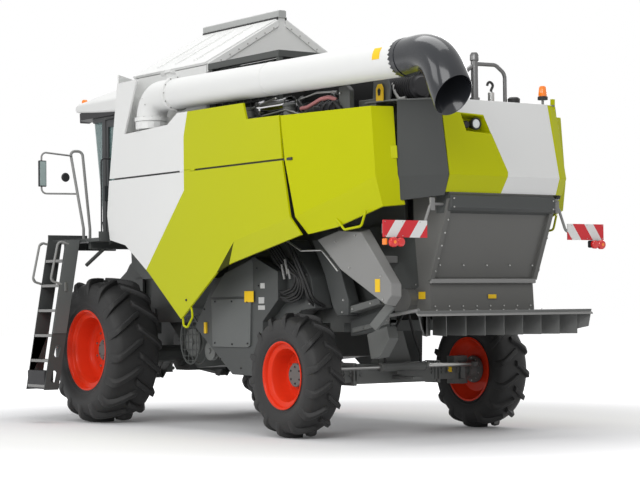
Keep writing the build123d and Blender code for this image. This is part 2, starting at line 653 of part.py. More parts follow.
# Straw outlet: chute below the hood with its rim, chopper box and the flared spreader with upright vanes
chute_half = body_half_w + 50
chop_top = 1540
shelf_z = 1225
spread_x = aft - 1830
spread_half = body_half_w + 490
with BuildPart() as straw_chute:
    side_plate([(body_rear, hood_low), (hood_rear + 70, hood_low), (hood_rear + 130, hood_low - 190),
                (aft - 1460, chop_top), (aft - 1293, chop_top),
                (body_rear, body_top)], -chute_half, chute_half)
    for side in (1, -1):
        edge = [(hood_rear + 90, hood_low - 60), (hood_rear + 130, hood_low - 190), (aft - 1460, chop_top),
                (aft - 1500, chop_top), (hood_rear + 95, hood_low - 190), (hood_rear + 55, hood_low - 60)]
        side_plate(edge, side * (chute_half - 30), side * (chute_half + 20))
save(straw_chute, "straw_chute")
with BuildPart() as chopper:
    side_plate([(aft - 1460, chop_top), (aft - 1293, chop_top), (body_rear - 70, pan_z + 140),
                (aft - 980, pan_z),
                (aft - 880, pan_z), (aft - 880, shelf_z + 25),
                (aft - 1480, shelf_z + 25)], -chute_half, chute_half)
    for side in (1, -1):
        rod((aft - 1180, side * (chute_half - 1), shelf_z + 130),
            (aft - 1180, side * (chute_half + 90), shelf_z + 130),
            110)
save(chopper, "chopper")
with BuildPart() as spreader:
    shelf = [(aft - 880, -chute_half + 30), (aft - 1450, -chute_half), (spread_x, -spread_half),
             (spread_x, spread_half), (aft - 1450, chute_half), (aft - 880, chute_half - 30)]
    plan_plate(shelf, shelf_z, shelf_z + 25)
    for step in range(-4, 5):
        y0 = step * chute_half / 5
        y1 = step * spread_half / 4.64
        vane = [(aft - 1180, y0 - 4), (spread_x + 50, y1 - 4), (spread_x + 50, y1 + 4), (aft - 1180, y0 + 4)]
        plan_plate(vane, shelf_z - 215, shelf_z + 1)
    for side in (1, -1):
        wing = [(aft - 1450, chute_half), (spread_x, spread_half), (spread_x, spread_half - 15),
                (aft - 1450, chute_half - 15)]
        plan_plate([(x, side * y) for x, y in wing], shelf_z - 215, shelf_z + 1)
save(spreader, "spreader")

# Cab: the outline leans forward as it rises and its rear wall stays upright. Windows are cut from the shell.
cab_rear = -150
cab_side_x = 720
cab_front_x = 1050
cab_lean = 255
cab_wall = 45
cab_folds = (-1, -0.8, -0.5, 0, 0.5, 0.8, 1)
cab_roof_low = cab_floor + cab_height
door_x = (0, 660)
door_z = (cab_floor + 40, cab_roof_low - 60)
cab_hinge = (door_x[0], cab_half_w + 12)
cab_hinge_z = (door_z[0] + 300, door_z[1] - 300)
glass_in = 20
glass_wall = 8


def cab_body(inset, z_low, z_high, mode):
    slant = cab_lean / cab_height
    shift = (z_low - cab_floor) * slant
    half = cab_half_w - inset
    low_x = cab_rear - cab_lean
    bow = cab_front_x - cab_side_x - inset
    front = [(cab_side_x + shift + bow * (1 - share ** 2), share * half) for share in cab_folds]
    plan = outline(Plane.XY.offset(z_low), [(low_x, -half)] + front + [(low_x, half)])
    rise = Vector((z_high - z_low) * slant, 0, z_high - z_low)
    leaning = extrude(plan, amount=rise.length, dir=rise, mode=Mode.PRIVATE)
    add(split(leaning, bisect_by=Plane.YZ.offset(cab_rear + inset), keep=Keep.TOP, mode=Mode.PRIVATE),
        mode=mode)


window_rows = [
    ((cab_side_x - 620, cab_side_x - 30), (-cab_half_w - 300, -cab_half_w + 200),
     (door_z[0] + 260, door_z[1] - 60)),
    ((cab_rear - 100, cab_rear + 100), (-cab_half_w + 200, cab_half_w - 200),
     (door_z[0] + 510, door_z[1] - 60)),
    ((cab_side_x + 20, cab_side_x + 880), (-cab_half_w - 100, cab_half_w + 100),
     (door_z[0] + 140, door_z[1] - 20)),
]
with BuildPart() as cab_shell:
    cab_body(0, cab_floor, cab_roof_low, Mode.ADD)
    cab_body(cab_wall, cab_floor + cab_wall, cab_roof_low + 1, Mode.SUBTRACT)
    for x, y, z in window_rows:
        block(x, y, z, mode=Mode.SUBTRACT)
    block(door_x, (cab_half_w - 200, cab_half_w + 300), door_z, mode=Mode.SUBTRACT)
    for z in cab_hinge_z:
        hinge(plan_plate, [(-50, -13), (-50, -5), (-5, 8), (5, 6), (8, 0), (5, -6), (-2, -13)], cab_hinge, z)
save(cab_shell, "cab_shell")

with BuildPart() as cab_glass:
    for x, y, z in window_rows:
        block(x, y, z)
    cab_body(glass_in, cab_floor, cab_roof_low, Mode.INTERSECT)
    cab_body(glass_in + glass_wall, cab_floor - 1, cab_roof_low + 1, Mode.SUBTRACT)
save(cab_glass, "cab_glass")

door_frame = (60, 120, 80)
pane_x = (door_x[0] + panel_gap + door_frame[0], door_x[1] - panel_gap - door_frame[0])
pane_z = (door_z[0] + panel_gap + door_frame[1], door_z[1] - panel_gap - door_frame[2])
with BuildPart() as cab_door:
    block((door_x[0] + panel_gap, door_x[1] - panel_gap), (cab_half_w - cab_wall, cab_half_w),
          (door_z[0] + panel_gap, door_z[1] - panel_gap))
    block(pane_x, (cab_half_w - cab_wall - 1, cab_half_w + 1), pane_z, mode=Mode.SUBTRACT)
    for z in cab_hinge_z:
        hinge(plan_plate, [(20, -13), (55, -13), (55, -5), (6, 7), (-5, 7), (-8, 0), (-4, -7)], cab_hinge, z,
              moving=True)
    block((door_x[1] - 55, door_x[1] - 25), (cab_half_w - 1, cab_half_w + 45),
          (door_z[0] + 380, door_z[0] + 560))
save(cab_door, "cab_door")
with BuildPart() as door_glass:
    block(pane_x, (cab_half_w - glass_in - glass_wall, cab_half_w - glass_in), pane_z)
save(door_glass, "door_glass")

roof_edge = 50
roof_front = cab_front_x + cab_lean + 180
roof_crown = 160
with BuildPart() as cab_roof:
    corners = [(roof_front - 200, 0), (roof_front - 60, 60), (roof_front, 200)]
    half = cab_half_w + roof_edge
    front_edge = [(x, half - y) for x, y in corners]
    rear_edge = [(cab_rear - 30, half - 150), (cab_rear + 120, half)]
    half_plan = rear_edge + front_edge
    plan_plate(half_plan + [(x, -y) for x, y in half_plan[::-1]], cab_roof_low, cab_roof_low + 330)
    chamfer(cab_roof.faces().sort_by(Axis.Z)[-1].edges(), roof_crown)
save(cab_roof, "cab_roof")

with BuildPart() as driver_seat:
    block((150, 640), (-250, 250), (cab_floor + 490, cab_floor + 610))
    block((60, 170), (-240, 240), (cab_floor + 550, cab_floor + 1150))
save(driver_seat, "driver_seat")
console_top = cab_floor + 490
wheel_x = 755
with BuildPart() as console:
    block((200, 560), (-180, 180), (cab_floor + cab_wall, console_top))
    rod((wheel_x + 5, 0, cab_floor + 700), (wheel_x, 0, cab_floor + 725), 190)
    rod((wheel_x + 10, 0, cab_floor + 675), (wheel_x - 5, 0, cab_floor + 750), 155, mode=Mode.SUBTRACT)
    rod((wheel_x + 125, 0, cab_floor + cab_wall + 7.4), (wheel_x + 5, 0, cab_floor + 720), 40, sides=8)
    for turn in (30, 150, 270):
        ahead, out = 170 * math.cos(math.radians(turn)), 170 * math.sin(math.radians(turn))
        rod((wheel_x + 2, 0, cab_floor + 712), (wheel_x + 2 + ahead, out, cab_floor + 712 + 0.2 * ahead),
            10, sides=6)
    block((250, 620), (-400, -290), (cab_floor + 700, cab_floor + 760))
    block((350, 450), (-380, -310), (cab_floor + cab_wall, cab_floor + 701))
save(console, "console")

# Platform beside the cab: deck on two beams, with a toe board along its front and rear edge
platform_z = cab_floor - 50
platform_x = (-300, 950)
platform_out = panel_y + 100
deck_sheet = 40
with BuildPart() as platform:
    block((cab_rear, platform_x[1]), (50 - cab_half_w, cab_half_w - 50), (body_top, cab_floor))
    block(platform_x, (cab_half_w - 50, platform_out), (platform_z - deck_sheet, platform_z))
    for x in (platform_x[0], platform_x[1] - 12):
        block((x, x + 12), (cab_half_w + 100, platform_out), (platform_z - 1, platform_z + 70))
    for x in (0, 600):
        block((x, x + 60), (cab_half_w - 100, platform_out - 60),
              (platform_z - 120, platform_z - deck_sheet + 1))
save(platform, "platform")

# Ladder leaning outward: two side plates with oval slots, six steps, a locker below each side plate
ladder_x = (150, 600)
ladder_top = (platform_out + 52, platform_z - 10)
ladder_foot = (platform_out + 340, 380)
ladder_plate = 14
ladder_inner = 50
ladder_outer = 130
steps = 6


def ladder_point(share):
    return tuple(low + share * (high - low) for low, high in zip(ladder_foot, ladder_top))


with BuildPart() as ladder:
    lean_line = [(ladder_top[0] - ladder_inner, ladder_top[1]),
                 (ladder_foot[0] - ladder_inner, ladder_foot[1]),
                 (ladder_foot[0] + ladder_outer, ladder_foot[1]),
                 (ladder_top[0] + ladder_outer, ladder_top[1])]
    for x in (ladder_x[0], ladder_x[1] - ladder_plate):
        cross_plate(lean_line, x, x + ladder_plate)
    for step in range(steps):
        y, z = ladder_point((step + 0.55) / steps)
        slot = [(y + 20, z - 70), (y + 60, z - 70), (y + 75, z - 45), (y + 50, z + 60), (y + 10, z + 60),
                (y - 5, z + 35)]
        cross_plate(slot, ladder_x[0] - 1, ladder_x[0] + ladder_plate + 1, mode=Mode.SUBTRACT)
    for step in range(steps):
        y, z = ladder_point((step + 0.1) / steps)
        block(ladder_x, (y - 45, y + 125), (z, z + 28))
    block(ladder_x, (platform_out, platform_out + 80), (platform_z - 35, platform_z - 5))
    for x in ladder_x:
        tube([(x, ladder_top[0] + 100, platform_z - 60), (x, ladder_top[0] + 230, platform_z - 30),
              (x, ladder_top[0] + 330, platform_z - 480), (x, ladder_top[0] + 190, platform_z - 520)], 13, 40,
             steps=1, sides=6)
save(ladder, "ladder")

# Hand rails beside the door and the hoop that carries the mirror, the right hoop on the roof's edge
rail_y = panel_y - 220
inner_y = panel_y - 370
rail_top = cab_floor + 1030
mirror_y = (rail_y + 320, rail_y + 500)
hoop_x = 930
hoop_r = 12
with BuildPart() as handrails:
    tube([(660, rail_y, platform_z), (660, rail_y, platform_z + 140), (985, rail_y, rail_top),
          (960, inner_y, rail_top), (780, inner_y, platform_z + 140),
          (780, inner_y, platform_z)], 17, 60, steps=1, sides=6)
    tube([(947, rail_y - 5, rail_top - 100), (hoop_x, mirror_y[0] + 80, rail_top - 60),
          (hoop_x, mirror_y[0] + 80, rail_top - 520),
          (810, rail_y - 5, rail_top - 520)], hoop_r, 60, steps=1, sides=6)
    tube([(-250, platform_out - 20, platform_z), (-250, platform_out - 20, platform_z + 900),
          (-250, cab_half_w + 140, platform_z + 900),
          (-250, cab_half_w + 140, platform_z)], 17, 60, steps=1, sides=6)
save(handrails, "handrails")
with BuildPart() as mirrors:
    mirror_x = hoop_x - hoop_r * hex_flat - seat_gap
    block((mirror_x - 18, mirror_x), mirror_y, (rail_top - 440, rail_top - 130))
    chamfer(mirrors.edges().filter_by(Axis.X), 30)
save(mirrors, "mirrors")

# Unloading auger: fixed foot in the panel's recess, swinging tube with its elbow and the dark spout
auger_slope = auger_drop / (auger_x - auger_end)
spout_bend_x = auger_end - 400
spout_bend_z = auger_z - auger_drop - (auger_end - spout_bend_x) * auger_slope
spout_line = [(auger_end, auger_y, auger_z - auger_drop), (spout_bend_x, auger_y, spout_bend_z),
              (spout_bend_x - 300, auger_y, spout_bend_z - 480)]
with BuildPart() as auger_foot:
    rod((auger_x, auger_y - 20, tank_hip_z - 350), (auger_x, auger_y - 20, elbow_low - 80), 100)
    rod((auger_x, auger_y, elbow_low - 82), (auger_x, auger_y, elbow_low), auger_r + 10, sides=16)
    block((auger_x - 150, auger_x + 150), (tank_half_w, auger_y), (tank_hip_z + 20, elbow_low - 100))
save(auger_foot, "auger_foot")
with BuildPart() as auger_tube:
    tube([(auger_x, auger_y, elbow_low + seat_gap), (auger_x, auger_y, auger_z),
          (auger_end, auger_y, auger_z - auger_drop)], auger_r, elbow_reach, steps=3, sides=16)
    # bolted flange where the elbow meets the straight tube
    flange_x = auger_x - 520
    rod((flange_x, auger_y, auger_z - 8), (flange_x - 24, auger_y, auger_z - 9), auger_r + 22, sides=16)
save(auger_tube, "auger_tube")
with BuildPart() as auger_spout:
    tube(spout_line, auger_r + 8, spout_reach, sides=16)
    tube(spout_line, auger_r + 0.5, spout_reach, sides=16, mode=Mode.SUBTRACT)
save(auger_spout, "auger_spout")

# Feeder house: a hollow sheet channel from its hinge drum to the mouth, with the header frame and its hooks.
# Inside, open to view, the slatted chain runs round the front drum on three strands.
drum_x, drum_z = 1700, 860
drum_r = 140
strand_w = 40
slat_pitch = 310
slat_h = 34
channel = [(pivot_x, pivot_z + feeder_r), (mouth_x, 1115), (mouth_x, 520), (pivot_x, pivot_z - feeder_r)]
frame_x_pair = (mouth_x - 20, mouth_x + 60)
run_top = Vector(channel[1][0] - channel[0][0], channel[1][1] - channel[0][1]).normalized()
run_low = Vector(channel[2][0] - channel[3][0], channel[2][1] - channel[3][1]).normalized()


def inside(point, along, distance):
    """Point moved square to a run, towards the middle of the channel."""
    return (point[0] + along.Y * distance, point[1] - along.X * distance)


with BuildPart() as feeder_house:
    side_plate(channel, -feeder_half_w, feeder_half_w)
    rod((pivot_x, -feeder_half_w, pivot_z), (pivot_x, feeder_half_w, pivot_z), feeder_r, sides=20)
    inner_top = [inside(point, run_top, feeder_wall) for point in channel[:2]]
    inner_low = [inside(point, run_low, -feeder_wall) for point in channel[2:]]
    side_plate([inner_top[0], (mouth_x + 1, inner_top[1][1]), (mouth_x + 1, inner_low[0][1]), inner_low[1]],
               feeder_wall - feeder_half_w, feeder_half_w - feeder_wall, mode=Mode.SUBTRACT)
    block(frame_x_pair, (-feeder_half_w - 150, feeder_half_w + 150), (470, 1160))
    block((mouth_x - 30, mouth_x + 70), (50 - feeder_half_w, feeder_half_w - 50), (560, 1060),
          mode=Mode.SUBTRACT)
    for side in (1, -1):
        rod((pivot_x, side * (feeder_half_w - 5), pivot_z),
            (pivot_x, side * (bracket_in - seat_gap), pivot_z), 80,
            sides=8)
        # hooks on top of the frame and lock pins at its foot
        side_plate([(mouth_x, 1150), (mouth_x, 1230), (mouth_x + 110, 1260), (mouth_x + 110, 1225),
                    (mouth_x + 60, 1205),
                    (mouth_x + 60, 1150)], side * (feeder_half_w - 60), side * (feeder_half_w - 35))
        rod((mouth_x + 20, side * (feeder_half_w + 149), 520),
            (mouth_x + 20, side * (feeder_half_w + 190), 520), 22, sides=8)
        for ear in (-65, 50):
            y = side * lift_y + ear
            side_plate([(1250, 850), (1450, 760), (1410, 620), (1350, 590), (1290, 620)], y, y + 15)
    # front drum on its shaft, three strands and the slats that they carry
    rod((drum_x, 1 - feeder_half_w, drum_z), (drum_x, feeder_half_w - 1, drum_z), 30, sides=8)
    rod((drum_x, -480, drum_z), (drum_x, 480, drum_z), drum_r - 20, sides=10)
    strand_top = inside((drum_x, drum_z), run_top, -drum_r)
    strand_low = inside((drum_x, drum_z), run_low, drum_r)
    strand_length = 700
    for y in (-430, 430):
        side_plate(strip([(strand_top[0] - run_top.X * strand_length,
                           strand_top[1] - run_top.Y * strand_length),
                          strand_top, (drum_x + drum_r * 0.75, drum_z + drum_r * 0.72),
                          (drum_x + drum_r, drum_z),
                          (drum_x + drum_r * 0.7, drum_z - drum_r * 0.75), strand_low,
                          (strand_low[0] - run_low.X * strand_length,
                           strand_low[1] - run_low.Y * strand_length)], -22),
                   y - strand_w / 2, y + strand_w / 2)
    for start, along, away in ((strand_top, run_top, -1), (strand_low, run_low, 1)):
        for step in range(int(strand_length / slat_pitch)):
            foot = (start[0] - along.X * (40 + step * slat_pitch),
                    start[1] - along.Y * (40 + step * slat_pitch))
            back = (foot[0] - along.X * 30, foot[1] - along.Y * 30)
            side_plate([inside(foot, along, -away), inside(back, along, -away),
                        inside(back, along, away * slat_h),
                        inside(foot, along, away * slat_h)], -500, 500)
    rod((pivot_x, -feeder_half_w - 50, pivot_z), (pivot_x, feeder_half_w + 50, pivot_z), trunnion_r + pin_fit,
        mode=Mode.SUBTRACT)
    rod((drum_x, feeder_half_w - 10, drum_z), (drum_x, feeder_half_w + 112, drum_z), 17.5, sides=0)
save(feeder_house, "feeder_house")

lift_run = Vector(lift_eye[0] - lift_foot[0], 0, lift_eye[1] - lift_foot[1])
lift_line = lift_run.normalized()


def lift_point(reach, y):
    return (lift_foot[0] + lift_line.X * reach, y, lift_foot[1] + lift_line.Z * reach)


mouth_reach = barrel_share * lift_run.length
with BuildPart() as lift_barrels:
    for side in (1, -1):
        y = side * lift_y
        rod((lift_foot[0], y - 40, lift_foot[1]), (lift_foot[0], y + 40, lift_foot[1]), lift_eye_r, sides=8)
        rod(lift_point(0, y), lift_point(mouth_reach, y), barrel_r, sides=8)
        rod(lift_point(60, y), lift_point(mouth_reach + 1, y),
            lift_rod_r + pin_fit, sides=8, mode=Mode.SUBTRACT)
        rod((lift_foot[0], y - 50, lift_foot[1]), (lift_foot[0], y + 50, lift_foot[1]),
            lift_pin_r, mode=Mode.SUBTRACT)
save(lift_barrels, "lift_barrels")
with BuildPart() as lift_rods:
    for side in (1, -1):
        y = side * lift_y
        rod((lift_eye[0], y - 40, lift_eye[1]), (lift_eye[0], y + 40, lift_eye[1]), lift_eye_r, sides=8)
        rod(lift_point(250, y), lift_point(lift_run.length, y), lift_rod_r, sides=8, sliding=True)
save(lift_rods, "lift_rods")

# Grain elevator leg on the right flank, from the cleaning box up into the tank's side
with BuildPart() as grain_elevator:
    leg_y = (-step_out, -step_out - 185)
    block((tank_rear - 35, tank_rear + 115), leg_y, (1040, eave_z - 330))
    block((tank_rear + 5, tank_rear + 105), (-tank_half_w, -step_out - 1), (eave_z - 600, eave_z - 380))
    rod((tank_rear + 70, leg_y[0] - 1, eave_z - 400), (tank_rear + 70, leg_y[1] - 30, eave_z - 400), 60)
save(grain_elevator, "grain_elevator")

# Exhaust pipe with its slanted mouth and the guard arch beside it, on the rear hood's roof
stack_x = hood_rear + 570
with BuildPart() as exhaust_pipe:
    tube([(stack_x, -90, hood_top), (stack_x, -90, hood_top + 380), (stack_x - 110, -90, hood_top + 500)], 55,
         60,
         sides=12)
    tube([(stack_x, 30, hood_top), (stack_x, 30, hood_top + 350), (stack_x, -360, hood_top + 420),
          (stack_x, -480, hood_top + 340), (stack_x, -480, hood_top)], 20, 60, sides=6)
save(exhaust_pipe, "exhaust_pipe")

# Warning boards on bent tubes, with the tail lamps
board_x = hood_rear + 140
board_wall = 15
board_y = (panel_y - 490, panel_y - 40)
board_z = (1930, 2090)
arm_r = 14
arm_x = board_x + board_wall + arm_r * hex_flat
with BuildPart() as boards:
    for side in (1, -1):
        block((board_x, board_x + board_wall), (side * board_y[0], side * board_y[1]), board_z)
save(boards, "warning_boards")
with BuildPart() as board_arms:
    for side in (1, -1):
        tube([(arm_x, side * chute_half, hood_low - 110), (arm_x, side * (board_y[0] - 130), hood_low - 110),
              (arm_x, side * (board_y[0] - 30), board_z[0] + 80),
              (arm_x, side * (board_y[1] - 40), board_z[0] + 80)],
             arm_r, 50, sides=6)
save(board_arms, "board_arms")

# Lamps: tail lamps below the boards, a lamp in each hood recess, work lamps below the cab roof, two beacons
with BuildPart() as lamps:
    for side in (1, -1):
        y0, y1 = side * (board_y[1] - 200), side * (board_y[1] - 40)
        block((arm_x - 40, arm_x + 10), (y0, y1), (board_z[0] - 100, board_z[0] - seat_gap))
        for y in (y0 + side * 45, y1 - side * 45):
            rod((arm_x - 39, y, board_z[0] - 50), (arm_x - 75, y, board_z[0] - 50), 34, sides=8)
        z = (recess_z[0] + recess_z[1]) / 2
        foot = Vector(hood_back(z) + recess_depth, side * (recess_y[0] + recess_y[1]) / 2, z)
        away = Vector(hood_fold_z - hood_top, 0, hood_lean).normalized()
        rod(foot, foot + away * 20, 50, sides=8)
        x = roof_front - 60
        for y in (side * 300, side * (cab_half_w - 150)):
            block((x - 70, x + 15), (y - 70, y + 70), (cab_roof_low - 110, cab_roof_low))
    # the front beacon stands on a bracket at the roof's edge, the rear one on the hood
    block((roof_front, roof_front + 90), (cab_half_w - 240, cab_half_w - 150),
          (cab_roof_low + 120, cab_roof_low + 140))
    for x, y, z in ((roof_front + 45, cab_half_w - 195, cab_roof_low + 139),
                    (stack_x, 50 - hood_half_w, hood_top)):
        rod((x, y, z), (x, y, z + 25), 30, sides=8)
        rod((x, y, z + 24), (x, y, z + 110), 44, sides=8)
save(lamps, "lamps")
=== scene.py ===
import json
import math
import bmesh
import bpy
from mathutils import Matrix, Vector

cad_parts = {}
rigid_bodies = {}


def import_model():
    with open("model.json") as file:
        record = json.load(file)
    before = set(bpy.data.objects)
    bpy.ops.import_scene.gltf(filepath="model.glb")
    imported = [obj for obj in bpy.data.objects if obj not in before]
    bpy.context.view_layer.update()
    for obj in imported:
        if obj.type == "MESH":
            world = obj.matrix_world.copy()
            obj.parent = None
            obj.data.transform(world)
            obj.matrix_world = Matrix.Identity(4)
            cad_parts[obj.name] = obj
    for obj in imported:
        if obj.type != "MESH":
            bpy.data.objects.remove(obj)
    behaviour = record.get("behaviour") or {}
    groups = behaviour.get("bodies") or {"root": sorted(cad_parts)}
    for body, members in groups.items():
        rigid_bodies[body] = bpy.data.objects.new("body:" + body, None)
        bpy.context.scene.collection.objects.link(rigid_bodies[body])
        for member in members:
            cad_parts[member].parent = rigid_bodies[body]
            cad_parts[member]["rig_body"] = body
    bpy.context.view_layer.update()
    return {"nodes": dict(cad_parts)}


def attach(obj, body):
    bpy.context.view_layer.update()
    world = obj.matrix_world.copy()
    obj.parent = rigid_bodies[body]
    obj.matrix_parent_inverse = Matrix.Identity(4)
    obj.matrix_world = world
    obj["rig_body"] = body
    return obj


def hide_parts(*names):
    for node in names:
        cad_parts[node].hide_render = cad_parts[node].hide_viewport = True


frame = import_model()

# The photograph's viewpoint: low behind the left rear corner, a long lens, looking forward and inward.
# Angles are in degrees, measured from straight ahead, the horizon and upright.
scene = bpy.context.scene
camera_place = Vector((-19.553, 12.076, 1.319))
camera_turn, camera_tilt, camera_roll = (math.radians(angle) for angle in (35.26, 1.91, -0.58))
lens_focal = 108.7
ahead = Vector((math.cos(camera_turn) * math.cos(camera_tilt), -math.sin(camera_turn) * math.cos(camera_tilt),
                math.sin(camera_tilt)))
level = Vector((-math.sin(camera_turn), -math.cos(camera_turn), 0))
upright = level.cross(ahead)
right = level * math.cos(camera_roll) + upright * math.sin(camera_roll)
top = right.cross(ahead)
camera_data = bpy.data.cameras.new("photo_camera")
camera_data.lens = lens_focal
camera_data.sensor_width = 36
camera_data.clip_end = 200
camera = bpy.data.objects.new("photo_camera", camera_data)
camera.matrix_world = Matrix.Translation(camera_place) @ Matrix((right, top, -ahead)).transposed().to_4x4()
scene.collection.objects.link(camera)
scene.camera = camera
scene.view_settings.view_transform = "Standard"

# The studio: a wide pale floor that takes the soft shadow, and big soft lamps round the machine.
# Camera, mirror and glass rays see the sky and the far floor as white, and the lamps keep colours as they are
# written.
# Near the machine the floor's white lift is small, so a broad painted shade rings it, fading out between 3.5
# and 9 m.


class Wire:
    """One socket of a node tree. Arithmetic on it adds Math nodes, and node() adds any other kind."""

    def __init__(self, tree, socket=None):
        self.tree = tree
        self.socket = socket

    def node(self, kind, values, outlet=0, stops=(), **settings):
        made = self.tree.nodes.new(kind)
        for name, value in settings.items():
            setattr(made, name, value)
        for index, (place, tone) in enumerate(stops):
            ramp = made.color_ramp.elements
            stop = ramp[index] if index < 2 else ramp.new(place)
            stop.position = place
            stop.color = (tone, tone, tone, 1)
        for name, value in values.items():
            if isinstance(value, Wire):
                self.tree.links.new(value.socket, made.inputs[name])
            else:
                made.inputs[name].default_value = value
        return Wire(self.tree, made.outputs[outlet] if made.outputs else None)

    def maths(self, operation, *others):
        return self.node("ShaderNodeMath", dict(enumerate((self, *others))), operation=operation)

    def blend(self, low, high):
        """Colour that goes from low to high as this value goes from 0 to 1."""
        return self.node("ShaderNodeMix", {"Factor": self, 6: low, 7: high}, outlet=2, data_type="RGBA")

    def __add__(self, other):
        return self.maths("ADD", other)

    def __sub__(self, other):
        return self.maths("SUBTRACT", other)

    def __mul__(self, other):
        return self.maths("MULTIPLY", other)

    def __truediv__(self, other):
        return self.maths("DIVIDE", other)

    def __rsub__(self, other):
        return self.node("ShaderNodeMath", {0: other, 1: self}, operation="SUBTRACT")

    __radd__ = __add__
    __rmul__ = __mul__


def fresh_tree(owner):
    owner.use_nodes = True
    owner.node_tree.nodes.clear()
    return Wire(owner.node_tree)


def seen_directly(start):
    """1 for rays from the camera, a mirror or through glass, 0 for rays that light other surfaces."""
    paths = [start.node("ShaderNodeLightPath", {}, outlet=name)
             for name in ("Is Camera Ray", "Is Glossy Ray", "Is Transmission Ray")]
    return (paths[0] + paths[1] + paths[2]).maths("MINIMUM", 1.0)


floor_half = 60
floor_colour = (0.8, 0.8, 0.81, 1)
floor_lift_near, floor_lift_far = 0.05, 0.75
painted_shade_fade = (3.5, 9.0)
floor_middle = (-2.0, 0, 0)
sky_light = 0.46
floor_mesh = bpy.data.meshes.new("studio_floor")
floor_corners = [(-floor_half, -floor_half, 0), (floor_half, -floor_half, 0), (floor_half, floor_half, 0),
                 (-floor_half, floor_half, 0)]
floor_mesh.from_pydata(floor_corners, [], [(0, 1, 2, 3)])
floor = bpy.data.objects.new("studio_floor", floor_mesh)
scene.collection.objects.link(floor)
floor_paint = bpy.data.materials.new("studio_floor")
start = fresh_tree(floor_paint)
matte = start.node("ShaderNodeBsdfDiffuse", {"Color": floor_colour})
spot = start.node("ShaderNodeTexCoord", {}, outlet="Object")
reach = start.node("ShaderNodeVectorMath", {0: spot, 1: floor_middle}, outlet="Value", operation="DISTANCE")
# The lift grows with distance from the middle: small lift near the machine is a painted shade round it.
fade = start.node("ShaderNodeMapRange", {"Value": reach, "From Min": painted_shade_fade[0], "From Max": painted_shade_fade[1],
                                         "To Min": floor_lift_near, "To Max": floor_lift_far},
                  interpolation_type="SMOOTHSTEP")
lift = start.node("ShaderNodeEmission", {"Color": (1, 1, 1, 1), "Strength": seen_directly(start) * fade})
surface = start.node("ShaderNodeAddShader", {0: matte, 1: lift})
start.node("ShaderNodeOutputMaterial", {"Surface": surface})
floor_mesh.materials.append(floor_paint)

scene.world = bpy.data.worlds.new("studio_sky")
start = fresh_tree(scene.world)
glow = start.node("ShaderNodeBackground", {
    "Color": (1, 1, 1, 1), "Strength": seen_directly(start) * (1 - sky_light) + sky_light})
start.node("ShaderNodeOutputWorld", {"Surface": glow})

# name, place, aimed at, width and height, watts
lamp_rows = [
    ("key_lamp", (-13, 10, 9), (-2.5, 0.5, 1.5), (9, 6), 880),
    ("side_lamp", (-2, 15, 8), (-1.5, 0, 1.8), (8, 6), 560),
    ("top_lamp", (-2, 0, 14), (-2, 0, 0), (12, 8), 840),
    ("far_lamp", (6, -14, 8), (-1, 0, 1.5), (8, 6), 600),
]
for name, place, aim, size, watts in lamp_rows:
    lamp_data = bpy.data.lights.new(name, "AREA")
    lamp_data.shape = "RECTANGLE"
    lamp_data.size, lamp_data.size_y = size
    lamp_data.energy = watts
    lamp = bpy.data.objects.new(name, lamp_data)
    lamp.location = place
    lamp.rotation_mode = "QUATERNION"
    lamp.rotation_quaternion = (Vector(aim) - Vector(place)).to_track_quat("-Z", "Y")
    scene.collection.objects.link(lamp)


# Tyres: black moulded rubber on four wheels, a rounded carcass with bars that lean back from the middle.
# Each pair of bars is modelled once and set round the carcass, one pair to every bar pitch.
def sprayed(name, colour, rough=0.35, coat=0.0, metal=0.0, cloudy=0.06, skin=0.0, skin_scale=260, split=None,
            glow=None, shine=0.22):
    """Paint or moulded plastic. split(start, place) may give a mask and the colour where it is 1."""
    made = bpy.data.materials.new(name)
    start = fresh_tree(made)
    place = start.node("ShaderNodeTexCoord", {}, outlet="Object")
    cloud = start.node("ShaderNodeTexNoise", {"Vector": place, "Scale": 2.3, "Detail": 5.0})
    base = (*colour, 1)
    if split:
        mask, other = split(start, place)
        base = mask.blend(base, (*other, 1))
    shade = cloud.blend((1 - cloudy, 1 - cloudy, 1 - cloudy, 1), (1, 1, 1, 1))
    tone = start.node("ShaderNodeMix", {"Factor": 1.0, 6: base, 7: shade}, outlet=2,
                      data_type="RGBA", blend_type="MULTIPLY")
    fine = start.node("ShaderNodeTexNoise", {"Vector": place, "Scale": skin_scale, "Detail": 2.0})
    bump = start.node("ShaderNodeBump", {"Strength": skin, "Distance": 0.002, "Height": fine})
    smear = start.node("ShaderNodeTexNoise", {"Vector": place, "Scale": 9.0, "Detail": 6.0})
    sockets = {"Base Color": tone, "Roughness": smear * 0.1 + (rough - 0.05), "Metallic": metal,
               "Specular IOR Level": shine, "Coat Weight": coat, "Coat Roughness": 0.1, "Normal": bump}
    if glow:
        sockets["Emission Color"] = (*colour, 1)
        sockets["Emission Strength"] = glow
    surface = start.node("ShaderNodeBsdfPrincipled", sockets)
    start.node("ShaderNodeOutputMaterial", {"Surface": surface})
    return made


def settled(piece, crease=30):
    """Turns the piece with its modifiers into a plain mesh, smooth but for edges sharper than the crease."""
    bpy.context.view_layer.update()
    mesh = bpy.data.meshes.new_from_object(piece.evaluated_get(bpy.context.evaluated_depsgraph_get()))
    piece.modifiers.clear()
    piece.data = mesh
    if crease:
        mesh.shade_smooth()
        mesh.set_sharp_from_angle(angle=math.radians(crease))


def broken_edges(piece, width, angle=28):
    """Breaks the edges that are sharper than the angle by a small round."""
    broken = piece.modifiers.new("edge", "BEVEL")
    broken.width, broken.segments = width, 2
    broken.limit_method, broken.angle_limit = "ANGLE", math.radians(angle)
    broken.harden_normals = True


